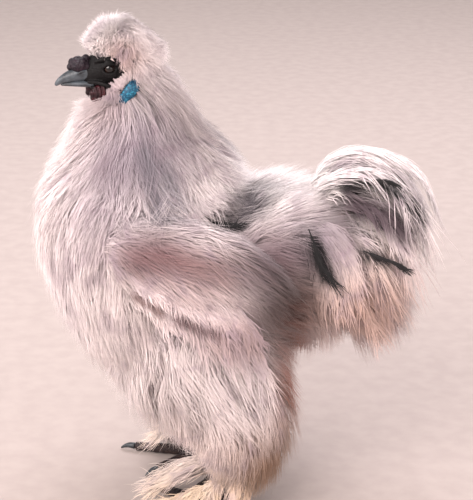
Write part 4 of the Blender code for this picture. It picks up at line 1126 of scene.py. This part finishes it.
nape = [grow(NECK, 110, (-0.14, 0.14), (0.3, 1.7), hackle_lie, 0.26, seed=121, fine=19, webs=5, spread=5.0,
             heights=(0.7, 1.0)),
        grow(NECK, 130, (0.10, 0.36), (0.25, 1.75), hackle_lie, 0.36, seed=122, fine=20, webs=6, spread=6.0,
             rings=3, smoky=0.4)]
for seed, turns in ((127, (-0.40, 0.25)), (128, (1.75, 2.40))):
    nape.append(grow(NECK, 80, (0.19, 0.36), turns, hackle_lie, 0.36, seed, fine=20, webs=6, spread=5.0,
                     rings=3, smoky=0.45))
cape = [grow(NECK, 240, (0.32, 0.68), (-0.35, 2.35), hackle_lie, 0.32, seed=123, fine=19, webs=6, rings=3,
             heights=(0.6, 0.96), smoky=0.34),
        grow(NECK, 80, (0.60, 0.76), (-0.3, 2.3), hackle_lie, 0.26, seed=124, heights=(0.6, 0.94))]
throat = [grow(NECK, 220, (0.12, 0.56), (2.25, 3.75), hackle_lie, 0.30, seed=125, fine=18, webs=6,
               spread=6.5, rings=3, heights=(0.6, 0.98)),
          grow(NECK, 110, (0.0, 0.16), (2.4, 3.6), hackle_lie, 0.17, seed=126, fine=18, webs=5, spread=4.5,
               heights=(0.9, 1.25))]
knit("nape_floss", nape, ["neck"])
knit("cape_floss", cape, ["neck"])
knit("throat_floss", throat, ["neck"])

# %% The breast
breast = [grow(BREAST, 440, (0.0, 0.86), (1.80, 4.20), straight, 0.28, seed=131, fine=21, spread=7.5,
               heights=(0.55, 0.93)),
          grow(BREAST, 180, (-0.1, 0.9), (1.80, 4.20), straight, 0.30, seed=132, fine=0, webs=9, spread=8.5,
               web_width=3.2, heights=(0.74, 0.80), sunk=(0.88, 0.97))]
knit("breast_floss", breast, ["breast"])

# %% The back, flanks and vent


def back_lie(along, angle):
    return 1.0, 0.9 * np.sin(angle - math.pi / 2)


back = [grow(TORSO, 370, (0.26, 0.88), (-0.25, 2.25), back_lie, 0.25, seed=141, webs=6, curl=1.6,
             stray=8.0)]
knit("saddle_floss", back, ["torso"])
flank = [grow(TORSO, 70, (0.0, 0.62), turns, back_lie, 0.30, seed, fine=18, webs=6, spread=8.0)
         for seed, turns in ((142, (2.1, 2.9)), (143, (3.1, 3.9)))]
flank.append(grow(VENT, 160, (0.0, 0.70), (-0.25, 2.25), straight, 0.36, seed=144, spread=8.0))
knit("vent_floss", flank, ["torso"])

# %% [markdown]
# Wings
# Floss covers the wing, and two tiers of plumes hang over its lower edge: the flight feathers, and the
# long coverts over them. A silkie cannot fly: the vanes are shredded, so they look like a torn fringe.

# %% The wings


def wing_lie(along, angle):
    return 0.8, 0.7 + 0 * angle


for name, seed, turned in (("left", 151, dict), ("right", 161, across_midline)):
    rng = np.random.default_rng(seed)
    bundles = [grow(WING, 190, (0.0, 0.86), (0.8, 2.3), wing_lie, 0.30, seed + 1, fine=18, webs=5,
                    spread=6.0, rings=3, twist=1.6, curl=1.6, smoky=0.2, stray=8.0)]
    for j in range(17):
        t = (j + rng.uniform(-0.3, 0.3)) / 16
        points = [(-80 + 72 * t, -78, 192 - 22 * t), (-64 + 74 * t, -92, 180 - 32 * t),
                  (-50 + 76 * t, -94 + rng.uniform(-3, 3), 166 - 47 * t + rng.uniform(-13, 6))]
        bundles.append(plume(points, towards(0, -1, 0.15), 15, 52, rng, np.array([0.3 + 0.03 * j, 0.4])))
    for j in range(15):
        t = (j + rng.uniform(-0.3, 0.3)) / 14
        points = [(-82 + 72 * t, -84, 204 - 18 * t), (-66 + 74 * t, -95, 192 - 30 * t),
                  (-54 + 74 * t, -96 + rng.uniform(-3, 3), 180 - 42 * t + rng.uniform(-12, 6))]
        bundles.append(plume(points, towards(0, -1, 0.2), 17, 48, rng, np.array([0.3 + 0.03 * j, 0.6])))
    knit("wing_floss_" + name, [turned(bundle) for bundle in bundles], ["wing_" + name])

# %% [markdown]
# Tail
# The cock's tail is a sheaf of loose plumes in tiers. The upper ones arch over like a fountain, and the
# lower ones hang. A tier is its number of plumes, about how far its outermost plumes spread to the side in
# mm, a plume's width, whether it arches, and its line in the middle plane. More plumes hang down each
# side, and four inky ones lie over the rest, one of them on the back. Short fluff fills the space under
# the tail.

# %% The tail


def fountain(path):
    return path - np.array([100.0, 0, 186])


def outward_of(side):
    return lambda path: np.broadcast_to(np.array([1.0, 1.2 * side, 0.35]), path.shape)


TIERS = [(5, 20, 20, True, ((42, 214), (56, 240), (80, 250), (108, 246))),
         (11, 34, 22, True, ((50, 216), (64, 248), (98, 258), (131, 242), (152, 208))),
         (12, 40, 20, True, ((54, 210), (80, 235), (108, 233), (130, 210), (142, 178))),
         (10, 44, 22, True, ((58, 206), (84, 215), (106, 200), (124, 160))),
         (8, 44, 22, False, ((56, 201), (80, 190), (100, 168), (114, 142)))]
INKY_PLUMES = [([(74, -27, 238), (94, -31, 243), (112, -31, 238), (131, -27, 212)], 6),
               ([(49, -53, 216), (54, -58, 202), (60, -60, 188), (72, -57, 172)], 7),
               ([(88, -41, 196), (100, -45, 192), (110, -46, 188), (120, -45, 182)], 4),
               ([(-18, -58, 223), (-10, -58, 221), (-2, -57, 219), (6, -54, 219)], 6)]
rng = np.random.default_rng(171)
tail = []
for tier, (count, spread, width, arched, line) in enumerate(TIERS):
    for j in range(count):
        side = 2 * j / (count - 1) - 1
        shorter = (1 - 0.2 * abs(side)) * rng.uniform(0.88, 1.04)
        drop = 10 * abs(side) + rng.uniform(-3, 7)
        points = [(54 + (x - 54) * shorter + rng.uniform(-3, 3) * (k > 0),
                   side * (10 + (spread - 2) * k / (len(line) - 1)) + rng.uniform(-2.5, 2.5) * (k > 0),
                   z - drop * (k > 0)) for k, (x, z) in enumerate(line)]
        root = np.array([0.5 + 0.4 * side, 0.1 + 0.12 * tier])
        tail.append(plume(points, fountain if arched else outward_of(side), width + rng.uniform(0, 8), 88,
                          rng, root, rings=4, sag=5.0, length=0.34, loose=3.6))
for side in (-1, 1):
    for j in range(10):
        t = j / 9
        fall = rng.uniform(-8, 8)
        points = [(38 + 12 * t, side * (20 - 4 * t), 206 + 4 * t),
                  (48 + 16 * t, side * (45 - 5 * t), 206 + 6 * t),
                  (56 + 22 * t, side * (55 - 8 * t), 184 + 6 * t + 0.5 * fall),
                  (60 + 26 * t, side * (52 - 5 * t + rng.uniform(-4, 4)), 152 + 8 * t + fall)]
        tail.append(plume(points, towards(0, side, 0.25), 19, 78, rng,
                          np.array([0.49 + 0.45 * side, 0.1 + 0.08 * j]), rings=4, sag=4.0))
for points, width in INKY_PLUMES:
    tail.append(plume(points, towards(0, -1, 0.3), width, 56, rng, np.array([0.9, 0.9]), rings=4, sag=1.0,
                      webs=3, loose=1.2, ink=0.985))
knit("tail_floss", tail, ["tail"])
fluff = grow(UNDER_TAIL, 240, (0.0, 0.86), (0, 4), straight, 0.34, seed=172, fine=20, webs=5, spread=8.0,
             loose=2.6, twist=1.6, curl=2.4)
knit("under_tail_floss", [fluff], ["tail"])

# %% [markdown]
# Thighs and feathered feet
# The thighs are round puffs of soft down that narrow to the hock. Their tufts are nearly all fine strands,
# which keeps the puff smooth. Below them, short plumes cover the outer side of the shank and the outer
# toes.

# %% The thighs


def thigh_lie(along, angle):
    return 1.0, 0.1 + 0 * angle


def kept_to_side(bundle):
    bundle["path"][..., 1] = np.minimum(bundle["path"][..., 1], -6.0)
    return bundle


for name, seed, turned in (("left", 181, dict), ("right", 191, across_midline)):
    puff = grow(THIGH, 384, (-0.2, 0.90), (0, 4), thigh_lie, 0.25, seed, fine=22, webs=3, spread=8.5,
                width=0.48, web_width=1.1, heights=(0.66, 0.98), loose=2.4, twist=0.9, curl=1.8)
    knit("thigh_floss_" + name, [turned(kept_to_side(puff))], ["thigh_" + name])

# %% The foot plumes
for name, seed, turned in (("left", 201, dict), ("right", 211, across_midline)):
    rng = np.random.default_rng(seed)
    bundles = []
    for j in range(30):
        t = rng.uniform(0, 1)
        root = (4 - 46 * t, -50, 41 - 32 * t)
        middle = (root[0] + 6 - 18 * t, -66 + 3 * t + rng.uniform(-3, 3), root[2] - 2 + 6 * t)
        tip = (root[0] + 4 - 34 * t, -78 + 6 * t + rng.uniform(-7, 5), 7 + rng.uniform(-2, 8))
        bundles.append(plume([root, middle, tip], towards(-0.4 * t, -0.8, 1), 15, 24, rng,
                             np.array([0.2 + 0.5 * t, 0.5]), loose=4.0, webs=4))
    for j in range(26):
        t, fan = rng.uniform(0, 1), rng.uniform(0, 1)
        points = [(-4 - 10 * t, -50 + 6 * fan, 46 - 16 * t), (-34 - 6 * t, -36 - 22 * fan, 38 - 10 * t),
                  (-60 - 12 * t, -28 - 32 * fan, 21 - 6 * t + rng.uniform(-4, 4))]
        bundles.append(plume(points, towards(-0.5, 0, 1), 15, 24, rng, np.array([0.2 + 0.5 * t, 0.2]),
                             loose=4.0, webs=4))
    knit("foot_floss_" + name, [turned(bundle) for bundle in bundles], ["foot_plumes_" + name])

# %% [markdown]
# Floor, light and camera
# The floor is matt painted plaster, with faint clouds about 17 mm across. Large soft lights show the
# plumage without hard shadows. The key light is high on the left behind the camera, a weaker one stands
# before the bird's breast, a fill stands on the right, and a broad light from above and behind brightens
# the crest and back, as an open sky does. The plumage is nearly white, so the view transform is the
# standard one. The default one would grey it. The camera stands about as far off and as high as the
# photo's did, and dips as much. Its lens follows from the photo's width and focal length in pixels.

# %% The floor
FLOOR_CLOUD_MM = 16.7
floor_finish, tree, shader = new_material("pale_floor")
place = add_node(tree, "TexCoord")
clouds = add_node(tree, "TexNoise", None,
                  {"Vector": place.outputs["Object"], "Scale": 1000 / FLOOR_CLOUD_MM, "Detail": 5.0})
share = add_node(tree, "MapRange", None, {0: clouds.outputs["Fac"], 1: 0.35, 2: 0.65})
colour = add_node(tree, "Mix", {"data_type": "RGBA"},
                  {0: share.outputs[0], 6: rgba("#a79b96"), 7: rgba("#ada19c")})
tree.links.new(colour.outputs[2], shader.inputs["Base Color"])
shader.inputs["Roughness"].default_value = 0.9
ground = bpy.data.meshes.new("floor")
ground.from_pydata([(-6, -6, 0), (6, -6, 0), (6, 6, 0), (-6, 6, 0)], [], [(0, 1, 2, 3)])
ground.materials.append(floor_finish)
floor = bpy.data.objects.new("floor", ground)
bpy.context.scene.collection.objects.link(floor)
floor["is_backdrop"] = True

# %% The lights


def soft_light(name, place, aim, size, power, shade):
    """A round lamp at a place, turned to an aim, in metres. Its power is in watts."""
    lamp = bpy.data.lights.new(name, "AREA")
    lamp.shape, lamp.size, lamp.energy, lamp.color = "DISK", size, power, tuple(linear(shade))
    holder = bpy.data.objects.new(name, lamp)
    holder.location = place
    holder.rotation_euler = (Vector(aim) - Vector(place)).to_track_quat("-Z", "Y").to_euler()
    bpy.context.scene.collection.objects.link(holder)


soft_light("key", (-0.8, -1.5, 1.2), (0, 0, 0.18), 1.4, 47, "#fff4f0")
soft_light("side", (-1.7, -0.3, 0.9), (0, 0, 0.2), 1.4, 16, "#fff4f2")
soft_light("sky", (0.3, 0.9, 1.8), (0, 0, 0.2), 1.8, 36, "#fdf6fb")
soft_light("fill", (1.5, -1.3, 0.7), (0, 0, 0.2), 1.6, 20, "#fff0ee")
world = bpy.data.worlds.new("studio")
world.use_nodes = True
world.node_tree.nodes["Background"].inputs["Color"].default_value = rgba("#f4eeee")
world.node_tree.nodes["Background"].inputs["Strength"].default_value = 0.95
bpy.context.scene.world = world
bpy.context.scene.view_settings.view_transform = "Standard"

# %% The camera
CAMERA_BACK, CAMERA_HIGH, CAMERA_DIP = 1.12, 0.56, 18.6
PHOTO_WIDTH_PX, FOCAL_LENGTH_PX, SENSOR_MM = 473, 1652, 36.0
camera = bpy.data.objects.new("camera", bpy.data.cameras.new("camera"))
camera.location = (-0.0045, -CAMERA_BACK, CAMERA_HIGH)
camera.rotation_euler = (math.radians(90 - CAMERA_DIP), 0, 0)
camera.data.sensor_width = SENSOR_MM
camera.data.sensor_fit = "HORIZONTAL"
camera.data.lens = SENSOR_MM * FOCAL_LENGTH_PX / PHOTO_WIDTH_PX
print("lens", round(camera.data.lens, 1), "mm")
bpy.context.scene.collection.objects.link(camera)
bpy.context.scene.camera = camera

# %% [markdown]
# The size
# The plumage must not outgrow the solids it stands for, so both boxes are printed side by side.

# %% Write both boxes and finish
dressed_low, dressed_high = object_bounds()
for axis, a, b, c, d in zip("XYZ", solid_low, solid_high, dressed_low, dressed_high):
    print(axis, "solids", round(1000 * a, 1), round(1000 * b, 1),
          "dressed", round(1000 * c, 1), round(1000 * d, 1))
